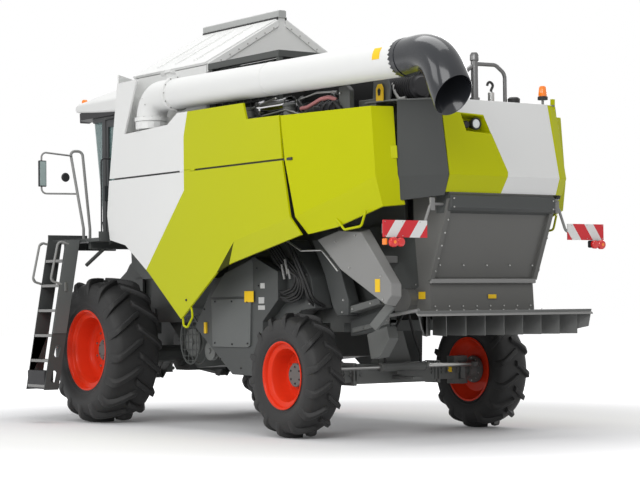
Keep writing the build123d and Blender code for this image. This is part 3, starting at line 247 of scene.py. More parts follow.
def made_of(name, points, faces, material, body="chassis", edge=0, crease=30):
    """One piece from corners and faces, with broken edges where edge is given. Without a body it is loose."""
    mesh = bpy.data.meshes.new(name)
    mesh.from_pydata([tuple(point) for point in points], [], faces)
    shape = bmesh.new()
    shape.from_mesh(mesh)
    bmesh.ops.remove_doubles(shape, verts=shape.verts, dist=0.00001)
    bmesh.ops.recalc_face_normals(shape, faces=shape.faces)
    shape.to_mesh(mesh)
    shape.free()
    mesh.materials.append(material)
    piece = bpy.data.objects.new(name, mesh)
    scene.collection.objects.link(piece)
    if edge:
        broken_edges(piece, edge)
    settled(piece, 0 if edge else crease)
    if body:
        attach(piece, body)
    return piece


def turned(name, profile, centre, material, body="chassis", axis="y", segments=72, closed=False, crease=30):
    """A turned piece. profile lists (distance along the axis, radius); the axis runs through the centre."""
    points = []
    for step in range(segments):
        angle = math.tau * step / segments
        for along, radius in profile:
            across, rise = radius * math.sin(angle), radius * math.cos(angle)
            offset = {"x": (along, across, rise), "y": (across, along, rise),
                      "z": (across, rise, along)}[axis]
            points.append(Vector(centre) + Vector(offset))
    count = len(profile)
    faces = []
    for step in range(segments):
        here, there = step * count, (step + 1) % segments * count
        for row in range(count if closed else count - 1):
            after = (row + 1) % count
            faces.append((here + row, here + after, there + after, there + row))
    return made_of(name, points, faces, material, body, crease=crease)


def pattern(name, inputs):
    """A Geometry Nodes tree with named inputs. Gives a start wire and one wire for each input."""
    tree = bpy.data.node_groups.new(name, "GeometryNodeTree")
    tree.interface.new_socket("Geometry", in_out="OUTPUT", socket_type="NodeSocketGeometry")
    tree.interface.new_socket("Geometry", in_out="INPUT", socket_type="NodeSocketGeometry")
    for label, kind in inputs:
        tree.interface.new_socket(label, in_out="INPUT", socket_type="NodeSocket" + kind)
    entry = tree.nodes.new("NodeGroupInput")
    return Wire(tree), [Wire(tree, socket) for socket in entry.outputs][:len(inputs) + 1]


def ended(start, geometry, material):
    """Every tree ends the same way: real geometry, and its material."""
    real = start.node("GeometryNodeRealizeInstances", {"Geometry": geometry})
    painted = start.node("GeometryNodeSetMaterial", {"Geometry": real, "Material": material})
    start.node("NodeGroupOutput", {"Geometry": painted})
    return start.tree


def grown(name, mesh, tree, values, body, crease=30):
    """A piece that a tree makes from the mesh it is given, kept as a plain mesh."""
    piece = bpy.data.objects.new(name, mesh)
    scene.collection.objects.link(piece)
    modifier = piece.modifiers.new(name, "NODES")
    modifier.node_group = tree
    for item in tree.interface.items_tree:
        if item.in_out == "INPUT" and item.name in values:
            modifier[item.identifier] = values[item.name]
    settled(piece, crease)
    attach(piece, body)
    return piece


start, (shape, count, step, turn, first, centre, material) = pattern("repeat", [
    ("Count", "Int"), ("Step", "Vector"), ("Turn", "Vector"), ("First", "Vector"), ("Centre", "Vector"),
    ("Material", "Material")])
index = start.node("GeometryNodeInputIndex", {})
walked = start.node("ShaderNodeVectorMath", {0: step, "Scale": index}, operation="SCALE")
placed = start.node("ShaderNodeVectorMath", {0: walked, 1: centre}, operation="ADD")
dots = start.node("GeometryNodePoints", {"Count": count, "Position": placed})
swung = start.node("ShaderNodeVectorMath", {0: turn, "Scale": index}, operation="SCALE")
faced = start.node("ShaderNodeVectorMath", {0: swung, 1: first}, operation="ADD")
spin = start.node("FunctionNodeEulerToRotation", {"Euler": faced})
copies = start.node("GeometryNodeInstanceOnPoints", {"Points": dots, "Instance": shape, "Rotation": spin})
repeat_tree = ended(start, copies, material)


def repeated(name, pattern_piece, count, material, body="chassis", step=(0, 0, 0), turn=(0, 0, 0),
             first=(0, 0, 0), centre=(0, 0, 0)):
    """Copies of a loose piece, each moved by step and turned by turn from the one before it."""
    mesh = pattern_piece.data
    bpy.data.objects.remove(pattern_piece)
    return grown(name, mesh, repeat_tree, {"Count": count, "Step": step, "Turn": turn, "First": first,
                                           "Centre": centre, "Material": material}, body)


tyre_rubber = sprayed("tyre_rubber", (0.034, 0.034, 0.034), rough=0.5, cloudy=0.2, skin=0.25, skin_scale=70)
carcass = [(0.265, 0.452), (0.262, 0.468), (0.272, 0.49), (0.281, 0.497), (0.283, 0.512), (0.291, 0.528),
           (0.303, 0.585), (0.304, 0.62), (0.300, 0.65), (0.292, 0.682), (0.283, 0.705), (0.270, 0.726),
           (0.255, 0.742), (0.20, 0.762), (0.10, 0.776), (0, 0.78)]
# distance from the middle, height of the bar's foot and of its top, share of its width
bar_rows = [(-0.02, 0.766, 0.825, 1), (0.04, 0.764, 0.8248, 1), (0.10, 0.76, 0.8235, 1),
            (0.16, 0.752, 0.8205, 1), (0.21, 0.742, 0.815, 1), (0.25, 0.728, 0.804, 1.05),
            (0.278, 0.70, 0.786, 1.1), (0.295, 0.665, 0.755, 1.12), (0.305, 0.62, 0.712, 1.1)]
tread_half, tread_radius, seat_radius = 0.305, 0.825, 0.452
bar_foot_half, bar_top_half = 0.046, 0.03
bar_lean, bar_curl = 0.75, 0.9
both_sides = ((1, "left"), (-1, "right"))
# name, centre of the left wheel, tread half width, rim seat radius, bars on each side
wheel_rows = [
    ("front", (0, 1.27, 0.825), 0.305, 0.452, 16),
    ("rear", (-3.72, 1.19, 0.62), 0.19, 0.333, 14),
]
for name, centre, half, seat, bars in wheel_rows:
    radius = centre[2]
    share = half / tread_half
    grow = (radius - seat) / (tread_radius - seat_radius)

    def wheel_radius(r):
        return seat + (r - seat_radius) * grow

    outer = [(y * share, wheel_radius(r)) for y, r in carcass]
    for side, word in both_sides:
        body = f"{name}_wheel_{word}"
        middle = Vector((centre[0], side * centre[1], centre[2]))
        ring = outer + [(-y, r) for y, r in outer[-2::-1]]
        skin = turned(f"{name}_tyre_{word}_carcass", ring, middle, tyre_rubber, body, closed=True,
                      segments=96)
        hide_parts(f"{name}_tyre_{word}")
        points, faces = [], []
        pitch = math.tau / bars
        for hand, shift in ((1, 0.0), (-1, 0.5)):
            low = len(points)
            for y, foot, crown, width in bar_rows:
                far = max(y, 0) / tread_half
                lean = bar_lean * half * (0.5 - far ** bar_curl) / radius + shift * pitch
                for edge_half, r in ((-bar_foot_half, foot), (-bar_top_half, crown), (bar_top_half, crown),
                                     (bar_foot_half, foot)):
                    angle = lean + edge_half * width * math.sqrt(share) / wheel_radius(r)
                    reach = wheel_radius(r)
                    points.append((reach * math.sin(angle), hand * y * share, reach * math.cos(angle)))
            for row in range(len(bar_rows) - 1):
                for column in range(4):
                    a, b = low + row * 4 + column, low + row * 4 + (column + 1) % 4
                    faces.append((a, b, b + 4, a + 4))
            last = low + 4 * (len(bar_rows) - 1)
            faces.append((low, low + 1, low + 2, low + 3))
            faces.append((last, last + 1, last + 2, last + 3))
        pair = made_of("bar_pair", points, faces, tyre_rubber, None, edge=0.006)
        bars_made = repeated(f"{name}_tyre_{word}_bars", pair, bars, tyre_rubber, body, turn=(0, pitch, 0),
                             centre=tuple(middle))

# Rims: pressed steel sprayed orange red, a bead seat with a rolled lip and a deep well down to the disc.
# The disc is bolted on a hub flange, and a turned cap closes the hub.
red_enamel = sprayed("red_enamel", (0.74, 0.04, 0.012), rough=0.3, coat=0.1, shine=0.1, cloudy=0.04)
hub_grey = sprayed("hub_grey", (0.14, 0.145, 0.14), rough=0.45, skin=0.15, skin_scale=120)
bolt_steel = sprayed("bolt_steel", (0.42, 0.42, 0.41), rough=0.3, metal=0.85)
bolt_black = sprayed("bolt_black", (0.03, 0.03, 0.03), rough=0.4)

start, (shape, radius_in, height, sides, material) = pattern("fixings", [
    ("Radius", "Float"), ("Height", "Float"), ("Sides", "Int"), ("Material", "Material")])
facing = start.node("GeometryNodeInputNamedAttribute", {"Name": "facing"}, data_type="FLOAT_VECTOR")
aligned = start.node("FunctionNodeAlignRotationToVector", {"Vector": facing}, axis="Z")
head = start.node("GeometryNodeMeshCone", {"Vertices": sides, "Radius Top": radius_in * 0.8,
                                           "Radius Bottom": radius_in, "Depth": height})
heads = start.node("GeometryNodeInstanceOnPoints", {"Points": shape, "Instance": head, "Rotation": aligned})
fixing_tree = ended(start, heads, material)


def bolted(name, places, radius, material, body="chassis", height=None, sides=6):
    """Bolt or rivet heads. places are (point, direction that the head faces)."""
    mesh = bpy.data.meshes.new(name)
    mesh.from_pydata([tuple(point) for point, facing in places], [], [])
    attribute = mesh.attributes.new("facing", "FLOAT_VECTOR", "POINT")
    for index, (point, facing) in enumerate(places):
        attribute.data[index].vector = Vector(facing).normalized()
    return grown(name, mesh, fixing_tree, {"Radius": radius, "Height": height or radius * 0.7, "Sides": sides,
                                           "Material": material}, body)


def row_of(start, end, count, facing):
    start, end = Vector(start), Vector(end)
    return [(start.lerp(end, index / max(count - 1, 1)), facing) for index in range(count)]


def ring_of(centre, radius, count, facing, axis="y", first=0.0):
    places = []
    for index in range(count):
        angle = first + math.tau * index / count
        across, rise = radius * math.sin(angle), radius * math.cos(angle)
        offset = {"x": (0, across, rise), "y": (across, 0, rise), "z": (across, rise, 0)}[axis]
        places.append((Vector(centre) + Vector(offset), facing))
    return places


front_rim = [(0.265, 0.458), (0.268, 0.448), (0.262, 0.438), (0.248, 0.432), (0.215, 0.424), (0.206, 0.412),
             (0.203, 0.392), (0.196, 0.375), (0.17, 0.362), (0.06, 0.350), (0.02, 0.342), (0.0, 0.325),
             (-0.012, 0.30), (-0.015, 0.26), (-0.008, 0.245), (-0.008, 0.215), (-0.015, 0.20),
             (-0.015, 0.061), (-0.03, 0.061), (-0.03, 0.30), (-0.05, 0.325), (-0.157, 0.33), (-0.19, 0.355),
             (-0.215, 0.412), (-0.25, 0.43), (-0.265, 0.436), (-0.265, 0.458), (-0.23, 0.452), (0.23, 0.452)]
rear_rim = [(0.175, 0.339), (0.178, 0.330), (0.172, 0.321), (0.160, 0.315), (0.135, 0.308), (0.129, 0.296),
            (0.127, 0.282), (0.118, 0.266), (0.104, 0.258), (0.03, 0.246), (-0.035, 0.238), (-0.049, 0.23),
            (-0.053, 0.215), (-0.053, 0.185), (-0.048, 0.175), (-0.048, 0.15), (-0.053, 0.14),
            (-0.053, 0.061), (-0.067, 0.061), (-0.067, 0.235), (-0.10, 0.27), (-0.13, 0.30), (-0.16, 0.315),
            (-0.175, 0.321), (-0.175, 0.339), (-0.15, 0.333), (0.15, 0.333)]
# name, profile, centre, disc face, cap profile, bolt ring radius, bolts
rim_rows = [
    ("front", front_rim, (0, 1.27, 0.825), -0.015,
     [(-0.03, 0.12), (0.03, 0.12), (0.038, 0.112), (0.038, 0.075), (0.052, 0.065), (0.056, 0.0)], 0.23, 10),
    ("rear", rear_rim, (-3.72, 1.19, 0.62), -0.053,
     [(-0.06, 0.118), (0.005, 0.118), (0.012, 0.111), (0.012, 0.0)], 0.083, 6),
]
for name, profile, centre, disc, cap, ring, bolts in rim_rows:
    for side, word in both_sides:
        body = f"{name}_wheel_{word}"
        middle = Vector((centre[0], side * centre[1], centre[2]))
        rim = turned(f"{name}_rim_{word}_turned", [(side * y, r) for y, r in profile], middle, red_enamel,
                     body, closed=True, segments=96)
        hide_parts(f"{name}_rim_{word}")
        turned(f"{name}_hub_cap_{word}", [(side * y, r) for y, r in cap], middle, hub_grey, body, segments=48)
        facing = (0, side, 0)
        if name == "front":
            stud_places = ring_of(middle + Vector((0, side * disc, 0)), ring, bolts, facing)
            bolted(f"front_wheel_bolts_{word}", stud_places, 0.016, bolt_steel, body, height=0.02)
            spots = ring_of(middle + Vector((0, side * 0.038, 0)), 0.095, 6, facing)
            bolted(f"front_hub_bolts_{word}", spots, 0.009, bolt_black, body)
        else:
            spots = ring_of(middle + Vector((0, side * 0.012, 0)), ring, bolts, facing)
            bolted(f"rear_hub_bolts_{word}", spots, 0.011, bolt_black, body)
            stud_places = ring_of(middle + Vector((0, side * disc, 0)), 0.15, 8, facing)
            bolted(f"rear_wheel_bolts_{word}", stud_places, 0.013, bolt_steel, body, height=0.018)

# Axles: welded and cast steel in satin dark grey, the rear beam telescoped and bolted to its track width.
# The steering cylinder lies behind the beam, its ground rod runs out to the arms of both knuckles.
chassis_grey = sprayed("chassis_grey", (0.075, 0.08, 0.077), rough=0.42, skin=0.05)


def rounded(material, *names, edge=0.004, split_by=None, joined=True):
    """The CAD nodes again with broken edges, as on folded and ground sheet. Each piece hides its node."""
    pieces = []
    for name in names:
        node = frame["nodes"][name]
        shape = bmesh.new()
        shape.from_mesh(node.data)
        bmesh.ops.remove_doubles(shape, verts=shape.verts, dist=0.00002)
        if joined:
            bmesh.ops.dissolve_limit(shape, angle_limit=math.radians(0.6), verts=shape.verts,
                                     edges=shape.edges)
        if split_by:
            split_by(shape)
        mesh = bpy.data.meshes.new(name + "_sheet")
        shape.to_mesh(mesh)
        shape.free()
        mesh.materials.clear()
        mesh.materials.append(material)
        piece = bpy.data.objects.new(name + "_sheet", mesh)
        scene.collection.objects.link(piece)
        broken_edges(piece, edge)
        settled(piece, 0)
        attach(piece, node["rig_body"])
        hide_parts(name)
        pieces.append(piece)
    return pieces


def prism(axis, outline, low, high):
    """A plate for stacked(): its outline across the axis and its two faces on the axis."""
    order = {"x": lambda a, b, c: (c, a, b), "y": lambda a, b, c: (a, c, b),
             "z": lambda a, b, c: (a, b, c)}[axis]
    count = len(outline)
    points = [order(a, b, face) for face in (low, high) for a, b in outline]
    faces = [tuple(range(count)), tuple(range(count, 2 * count))]
    faces += [(i, (i + 1) % count, (i + 1) % count + count, i + count) for i in range(count)]
    return points, faces


def beside(side, near, far):
    """The stretch of Y from near to far on one side."""
    return sorted((side * near, side * far))


def box(x, y, z):
    return prism("z", [(x[0], y[0]), (x[1], y[0]), (x[1], y[1]), (x[0], y[1])], *z)


def stacked(name, prisms, material, body="chassis", edge=0.003):
    """Several plates as one piece."""
    points, faces = [], []
    for part_points, part_faces in prisms:
        base = len(points)
        points += part_points
        faces += [tuple(base + index for index in face) for face in part_faces]
    return made_of(name, points, faces, material, body, edge=edge)


start, (shape, radius_in, bend, sides, material) = pattern("pipe", [
    ("Radius", "Float"), ("Bend", "Float"), ("Sides", "Int"), ("Material", "Material")])
line = start.node("GeometryNodeMeshToCurve", {"Mesh": shape})
eased = start.node("GeometryNodeFilletCurve", {"Curve": line, "Count": 7, "Radius": bend,
                                               "Limit Radius": True}, mode="POLY")
section = start.node("GeometryNodeCurvePrimitiveCircle", {"Resolution": sides, "Radius": radius_in})
swept = start.node("GeometryNodeCurveToMesh", {"Curve": eased, "Profile Curve": section, "Fill Caps": True})
pipe_tree = ended(start, swept, material)


def piped(name, runs, radius, material, body="chassis", bend=0.06, sides=14):
    """Round tube, rod or hose along each run of points, with its corners bent."""
    mesh = bpy.data.meshes.new(name)
    points, edges = [], []
    for run in runs:
        edges += [(len(points) + index, len(points) + index + 1) for index in range(len(run) - 1)]
        points += [tuple(point) for point in run]
    mesh.from_pydata(points, edges, [])
    return grown(name, mesh, pipe_tree, {"Radius": radius, "Bend": bend, "Sides": sides,
                                         "Material": material}, body, crease=40)


cast_grey = sprayed("cast_grey", (0.15, 0.155, 0.15), rough=0.45, skin=0.2, skin_scale=110)
rounded(chassis_grey, "drive_axle", edge=0.006)
rounded(cast_grey, "rear_axle", "knuckle_left", "knuckle_right", edge=0.006)
knuckle_profile = [(-0.21, 0.0), (-0.21, 0.07), (-0.17, 0.095), (-0.13, 0.10), (-0.12, 0.135),
                   (-0.10, 0.145), (-0.085, 0.145), (-0.075, 0.12), (-0.072, 0.0)]
for side, word in both_sides:
    turned(f"knuckle_casting_{word}", [(side * y, r) for y, r in knuckle_profile],
           (-3.72, side * 1.19, 0.62), cast_grey, f"knuckle_{word}", segments=48)
    bolted(f"knuckle_bolts_{word}", ring_of((-3.72, side * 1.072, 0.62), 0.118, 10, (0, -side, 0)), 0.012,
           bolt_steel, f"knuckle_{word}")
chrome = sprayed("chrome", (0.75, 0.75, 0.76), rough=0.14, metal=1.0, cloudy=0.02)
rubber_hose = sprayed("rubber_hose", (0.022, 0.022, 0.022), rough=0.4, skin=0.2, skin_scale=400)
yellow_film = sprayed("yellow_film", (0.86, 0.55, 0.02), rough=0.4, cloudy=0.03)
piped("steering_rod_ground", [[(-3.92, -0.885, 0.68), (-3.92, 0.885, 0.68)]], 0.021, bolt_steel,
      "steering_rod", sides=24)
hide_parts("steering_rod")
turned("steering_barrel", [(-0.3, 0.0), (-0.3, 0.046), (-0.27, 0.05), (-0.262, 0.044), (0.262, 0.044),
                           (0.27, 0.05), (0.3, 0.046), (0.3, 0.0)], (-3.92, 0, 0.68), cast_grey, segments=32)
bolted("rear_axle_bolts", [place for side in (1, -1) for z in (0.60, 0.64)
                           for place in row_of((-3.812, side * 0.46, z), (-3.812, side * 0.80, z), 6,
                                               (-1, 0, 0))], 0.016, cast_grey)
# collars where the telescoped ends enter the beam
stacked("rear_axle_collars", [box((-3.825, -3.615), (side * 0.52 - 0.025, side * 0.52 + 0.025), (0.53, 0.715))
                              for side in (1, -1)], cast_grey, edge=0.008)
piped("rear_axle_hoses", [
    [(-3.93, -0.22, 0.72), (-3.93, -0.22, 0.80), (-3.98, -0.10, 0.98), (-4.05, 0.02, 1.20),
     (-4.02, 0.05, 1.36)],
    [(-3.93, 0.24, 0.72), (-3.95, 0.26, 0.80), (-4.0, 0.20, 1.0), (-4.06, 0.10, 1.22), (-4.03, 0.10, 1.36)],
], 0.014, rubber_hose, bend=0.1)
stacked("axle_plate_yellow", [box((-3.818, -3.812), (-0.72, -0.67), (0.60, 0.66))], yellow_film,
        edge=0.001)

# Body: folded and welded steel sheet in dark grey, cover plates screwed on, a lighter grey on the skirts.
# The flanks carry pulleys, hoses and bundled cables behind the panels.
skirt_grey = sprayed("skirt_grey", (0.07, 0.074, 0.073), rough=0.4)
skirt_light = sprayed("skirt_light", (0.125, 0.132, 0.13), rough=0.4)
light_grey = sprayed("light_grey", (0.25, 0.25, 0.245), rough=0.4, skin=0.05)
black_moulding = sprayed("black_moulding", (0.03, 0.03, 0.032), rough=0.5, skin=0.15)
rounded(chassis_grey, "threshing_body", "main_frame", "engine_deck", edge=0.006)
guard_left = [(-3.88, 1.97), (-4.26, 2.06), (-4.64, 2.04), (-5.13, 1.50), (-5.13, 1.38), (-5.03, 1.29),
              (-4.27, 1.65)]
guard_right = [(-3.88, 1.97), (-4.26, 2.06), (-4.58, 2.03), (-4.66, 1.94), (-4.66, 1.48), (-4.27, 1.65)]


def pan(outline, low, high, slope=0.03):
    """A pressed pan: its rim slopes from the inner face to a smaller outer face."""
    middle = (sum(a for a, b in outline) / len(outline), sum(b for a, b in outline) / len(outline))
    inner = [(a, low, b) for a, b in outline]
    outer = []
    for a, b in outline:
        away = Vector((middle[0] - a, middle[1] - b)).normalized() * slope
        outer.append((a + away.x, high, b + away.y))
    count = len(outline)
    return inner + outer, [tuple(range(count)), tuple(range(count, 2 * count))] + [
        (i, (i + 1) % count, (i + 1) % count + count, i + count) for i in range(count)]


guards = stacked("belt_guards_pan", [pan(guard_left, 0.94, 1.05), pan(guard_right, -0.94, -1.05)] +
                 [box((x - 0.035, x + 0.035), beside(side, 0.6, 0.95), (z - 0.035, z + 0.035))
                  for side in (1, -1) for x, z in ((-4.2, 1.85), (-4.6, 1.75))], light_grey, edge=0.010)
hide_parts("belt_guards")
housing_y, skirt_y, wheel_box_y = 0.69, 1.05, 1.25
step_box = [(-1.59, 1.09), (-2.0, 1.59), (-2.77, 1.82), (-3.2, 1.66), (-3.2, 1.37), (-2.92, 1.15),
            (-2.9, 0.58), (-2.33, 0.59)]
wheel_box = [(-0.54, 2.04), (-0.56, 1.78), (-0.82, 1.62), (-1.56, 1.62), (-1.56, 2.04)]
skirt_cover = [(-1.95, 1.385), (-2.70, 1.385), (-2.725, 1.36), (-2.70, 0.90), (-2.66, 0.88), (-1.97, 0.88)]
upper_cover = [(-1.92, 1.41), (-2.20, 1.66), (-2.72, 1.79), (-2.75, 1.76), (-2.75, 1.41)]
skirt_parts = []
for side, word in both_sides:
    face = side * skirt_y
    skirt_parts += [prism("y", step_box, side * housing_y, face),
                    prism("y", wheel_box, side * 0.6, side * wheel_box_y)]
    stacked(f"skirt_covers_{word}", [prism("y", skirt_cover, face, face + side * 0.018),
                                     prism("y", upper_cover, face, face + side * 0.004)],
            skirt_light, edge=0.003)
    skirt_bolts = [(-2.03, 1.36), (-2.66, 1.35), (-2.66, 0.92), (-2.02, 0.92), (-2.36, 1.36), (-2.36, 0.91)]
    bolted(f"skirt_bolts_{word}", [((x, face + side * 0.02, z), (0, side, 0)) for x, z in skirt_bolts] +
           [((x, face + side * 0.002, z), (0, side, 0)) for x, z in (
               (-2.82, 1.70), (-2.85, 1.52), (-2.1, 0.75), (-2.5, 0.66), (-2.78, 0.7), (-1.78, 1.28))], 0.011,
           bolt_black)
    guard_bolts = [(-4.22, 1.93), (-4.55, 1.98), (-4.95, 1.58), (-4.98, 1.36), (-4.45, 1.67)]
    shown = guard_bolts[:2] if side < 0 else guard_bolts
    bolted(f"guard_bolts_{word}", [((x, face, z), (0, side, 0)) for x, z in shown], 0.012, bolt_steel)
housings = stacked("side_housings_sheet", skirt_parts, skirt_grey, edge=0.006)
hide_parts("side_housings")
stacked("yellow_plates_body", [
    box((-2.782, -2.61), (1.068, 1.073), (1.35, 1.465)),
    box((-4.936, -4.859), (1.05, 1.054), (1.43, 1.554)),
    box((-5.12, -5.02), (0.65, 0.656), (1.36, 1.43)),
    box((-1.84, -1.80), (1.05, 1.07), (1.02, 1.14)),
    box((-5.205, -5.2), (-0.16, -0.06), (1.36, 1.40)),
], yellow_film, edge=0.001)
pale_film = sprayed("pale_film", (0.5, 0.5, 0.49), rough=0.5)
stacked("data_plates", [
    box((-2.965, -2.885), (1.05, 1.054), (1.49, 1.545)), box((-2.955, -2.85), (1.05, 1.054), (1.335, 1.40)),
    box((-2.965, -2.84), (1.05, 1.053), (1.27, 1.315)),
    box((-3.92, -3.87), (0.74, 0.745), (1.22, 1.27)),
], pale_film, edge=0.001)
# the upright sheet column behind the step box and the plate above the rear wheel
stacked("flank_column", [
    prism("y", [(-2.9, 1.95), (-3.28, 1.98), (-3.62, 1.60), (-3.69, 1.28), (-3.45, 1.26), (-3.2, 1.13),
                (-2.95, 1.10), (-2.9, 1.50)], 0.72, 0.93),
    prism("y", [(-3.5, 1.97), (-3.75, 1.97), (-3.99, 1.66), (-4.12, 1.36), (-4.11, 1.21), (-3.93, 1.20),
                (-3.85, 1.30), (-3.72, 1.62)], 0.70, 0.83),
    prism("y", [(-3.96, 1.16), (-4.60, 1.30), (-4.60, 1.06), (-3.96, 1.0)], 0.66, 0.69),
], skirt_grey, edge=0.008)
stacked("flank_ribs", [
    prism("y", [(-3.99, 1.28), (-4.58, 1.38), (-4.60, 1.32), (-4.0, 1.21)], 0.60, 0.80),
    prism("y", [(-4.0, 1.08), (-4.60, 1.17), (-4.60, 1.12), (-4.0, 1.03)], 0.60, 0.70),
    prism("y", [(-4.90, 1.33), (-5.02, 1.29), (-4.72, 1.06), (-4.62, 1.12)], 0.92, 0.95),
    prism("y", [(-4.30, 1.02), (-4.62, 1.10), (-4.66, 0.98), (-4.50, 0.80), (-4.36, 0.78)], 0.62, 0.74),
], cast_grey, edge=0.006)
loop_line = [(-3.055, 1.471), (-3.218, 1.367), (-3.38, 1.346), (-3.541, 1.385), (-3.596, 1.465),
             (-3.562, 1.566), (-3.464, 1.668), (-3.279, 1.80), (-3.098, 1.97)]
loops = []
for share in range(6):
    loops.append([(x + 0.022 * share, 1.0 + 0.012 * (share % 3),
                   z + 0.02 * share * (1 if index < 6 else -0.6)) for index, (x, z) in enumerate(loop_line)])
    loops[-1][0] = (-3.0, 0.98, 1.44 + 0.02 * share)
piped("flank_hoses", loops, 0.013, rubber_hose, bend=0.12)
piped("flank_drops", [
    [(-3.28, 0.99, 1.98), (-3.45, 1.02, 1.80), (-3.60, 1.02, 1.58), (-3.66, 0.98, 1.37), (-3.66, 0.91, 1.30)],
    [(-3.33, 0.99, 1.98), (-3.50, 1.02, 1.80), (-3.65, 1.02, 1.58), (-3.71, 0.97, 1.37), (-3.70, 0.82, 1.30)],
    [(-3.22, 0.97, 1.98), (-3.40, 0.98, 1.80), (-3.56, 0.98, 1.60), (-3.61, 0.97, 1.40), (-3.60, 0.91, 1.32)],
], 0.016, rubber_hose, bend=0.12)
fittings = [[(-3.40 + 0.03 * share, 1.03 + 0.01 * (share % 2), 1.58 + 0.05 * (share % 3)),
             (-3.37 + 0.03 * share, 1.03 + 0.01 * (share % 2), 1.68 + 0.05 * (share % 3))]
            for share in range(5)]
piped("hose_fittings", fittings, 0.013, light_grey, bend=0.01, sides=10)
piped("flank_brace", [[(-3.30, 1.03, 1.99), (-3.62, 1.04, 1.86), (-3.99, 1.05, 1.855), (-4.26, 1.05, 1.64)]],
      0.012, bolt_steel)
flank_bolts = [(-2.96, 0.93, 1.88), (-2.98, 0.93, 1.64), (-3.55, 0.93, 1.62), (-3.60, 0.93, 1.33),
               (-3.84, 0.83, 1.80), (-4.04, 0.83, 1.36), (-4.02, 0.83, 1.24), (-4.15, 0.80, 1.27),
               (-4.45, 0.80, 1.325), (-4.2, 0.70, 1.085)]
bolted("flank_bolts", [(place, (0, 1, 0)) for place in flank_bolts], 0.013, bolt_steel)
# pulleys of the fan drive in front of the step box, with their grille
pulley_profile = [(-0.03, 0.0), (-0.03, 0.13), (-0.024, 0.15), (-0.012, 0.128), (0.012, 0.128), (0.024, 0.15),
                  (0.03, 0.13), (0.03, 0.045), (0.045, 0.04), (0.045, 0.0)]
for name, x, z, size in (("fan_pulley", -1.40, 0.92, 1.0), ("idler_pulley", -1.76, 0.83, 0.7)):
    turned(name, [(y, r * size) for y, r in pulley_profile], (x, 0.945, z), cast_grey, segments=40)
grille_x, grille_y, grille_z = -1.40, 0.995, 0.95
grille_half, grille_rise, grille_depth, grille_corners = 0.20, 0.27, 0.11, 16


def on_hoop(angle, depth=0.0):
    return (grille_x + grille_half * math.sin(angle), grille_y - depth,
            grille_z + grille_rise * math.cos(angle))


hoops = [[on_hoop(math.tau * k / grille_corners, depth) for k in range(grille_corners + 1)]
         for depth in (0.0, grille_depth)]
bars = [[on_hoop(math.radians(-90 - angle)), on_hoop(math.radians(90 + angle))]
        for angle in range(-66, 61, 18)]
bars += [[on_hoop(math.radians(angle)), on_hoop(math.radians(180 - angle))] for angle in range(-60, 61, 24)]
piped("fan_guard", hoops, 0.011, chassis_grey, bend=0.02, sides=8)
piped("fan_guard_mesh", bars, 0.005, chassis_grey, bend=0.01, sides=6)

# Engine, cooler and air filter on the deck: cast iron, sheet and rubber, seen over the panel's top edge.
# Pipes and hoses run along its left side, with a hose in dull pink and a lifting eye in yellow.
engine_iron = sprayed("engine_iron", (0.10, 0.105, 0.10), rough=0.5, skin=0.3, skin_scale=120)
pink_hose = sprayed("pink_hose", (0.42, 0.17, 0.17), rough=0.35)
white_hose = sprayed("white_hose", (0.62, 0.62, 0.6), rough=0.35)
# Near-black painted shade for the engine bay's shadowed gaps and the lifting tag's hole.
bay_painted_shade = sprayed("bay_painted_shade", (0.014, 0.014, 0.014), rough=0.6)
rounded(engine_iron, "engine", edge=0.008)
rounded(chassis_grey, "cooler_box", edge=0.003)
rounded(black_moulding, "air_filter", edge=0.004)
slat = stacked("slat", [box((0, 0.80), (-0.012, 0.012), (-0.014, 0.014))], chassis_grey, None, edge=0.002)
repeated("filter_bands", turned("band", [(-0.012, 0.178), (-0.012, 0.186), (0.012, 0.186), (0.012, 0.178)],
                                (0, 0, 0), black_moulding, None, axis="x", closed=True, segments=40),
         8, black_moulding, step=(-0.105, 0, 0), centre=(-3.52, 0.9, 3.175))
repeated("engine_side_slats", slat, 5, chassis_grey, step=(0, 0, 0.07), centre=(-3.3, 1.06, 2.72))
stacked("engine_bay_boxes", [
    box((-2.95, -2.62), (0.78, 1.02), (2.64, 3.30)), box((-3.40, -3.02), (0.74, 0.98), (2.64, 3.36)),
    box((-2.58, -2.30), (0.80, 1.04), (2.64, 3.24)), box((-4.86, -4.58), (0.70, 1.02), (2.64, 3.28)),
    prism("y", [(-4.42, 2.64), (-4.60, 2.64), (-4.60, 3.38), (-4.54, 3.43), (-4.42, 3.42)], 1.08, 1.14),
    box((-3.96, -3.80), (1.0, 1.12), (3.06, 3.28)),
], engine_iron, edge=0.01)
filter_profile = [(-0.12, 0.0), (-0.12, 0.05), (-0.1, 0.062), (0.09, 0.062), (0.1, 0.07), (0.12, 0.07),
                  (0.13, 0.05), (0.13, 0.0)]
for name, place in (("fuel_filter_a", (-2.80, 1.10, 3.24)), ("fuel_filter_b", (-3.52, 1.10, 3.22))):
    turned(name, filter_profile, place, cast_grey, axis="z")
turned("charge_pipe", [(-0.26, 0.085), (-0.26, 0.095), (-0.22, 0.095), (-0.22, 0.085), (0.2, 0.085),
                       (0.2, 0.095), (0.24, 0.095), (0.24, 0.085)], (-3.22, 1.05, 3.34), chrome,
       axis="x", segments=40)
piped("bay_hoses", [
    [(-2.35, 1.0, 3.20), (-2.5, 1.14, 3.34), (-2.72, 1.16, 3.36), (-2.86, 1.12, 3.22)],
    [(-2.9, 1.08, 3.40), (-3.0, 1.16, 3.30), (-3.15, 1.18, 3.20), (-3.38, 1.16, 3.18), (-3.5, 1.1, 3.30)],
    [(-3.6, 1.0, 3.40), (-3.75, 1.15, 3.34), (-3.9, 1.18, 3.20), (-4.15, 1.16, 3.18)],
    [(-4.2, 1.0, 3.36), (-4.3, 1.14, 3.36), (-4.42, 1.16, 3.26), (-4.5, 1.15, 3.18)],
], 0.024, rubber_hose, bend=0.12)
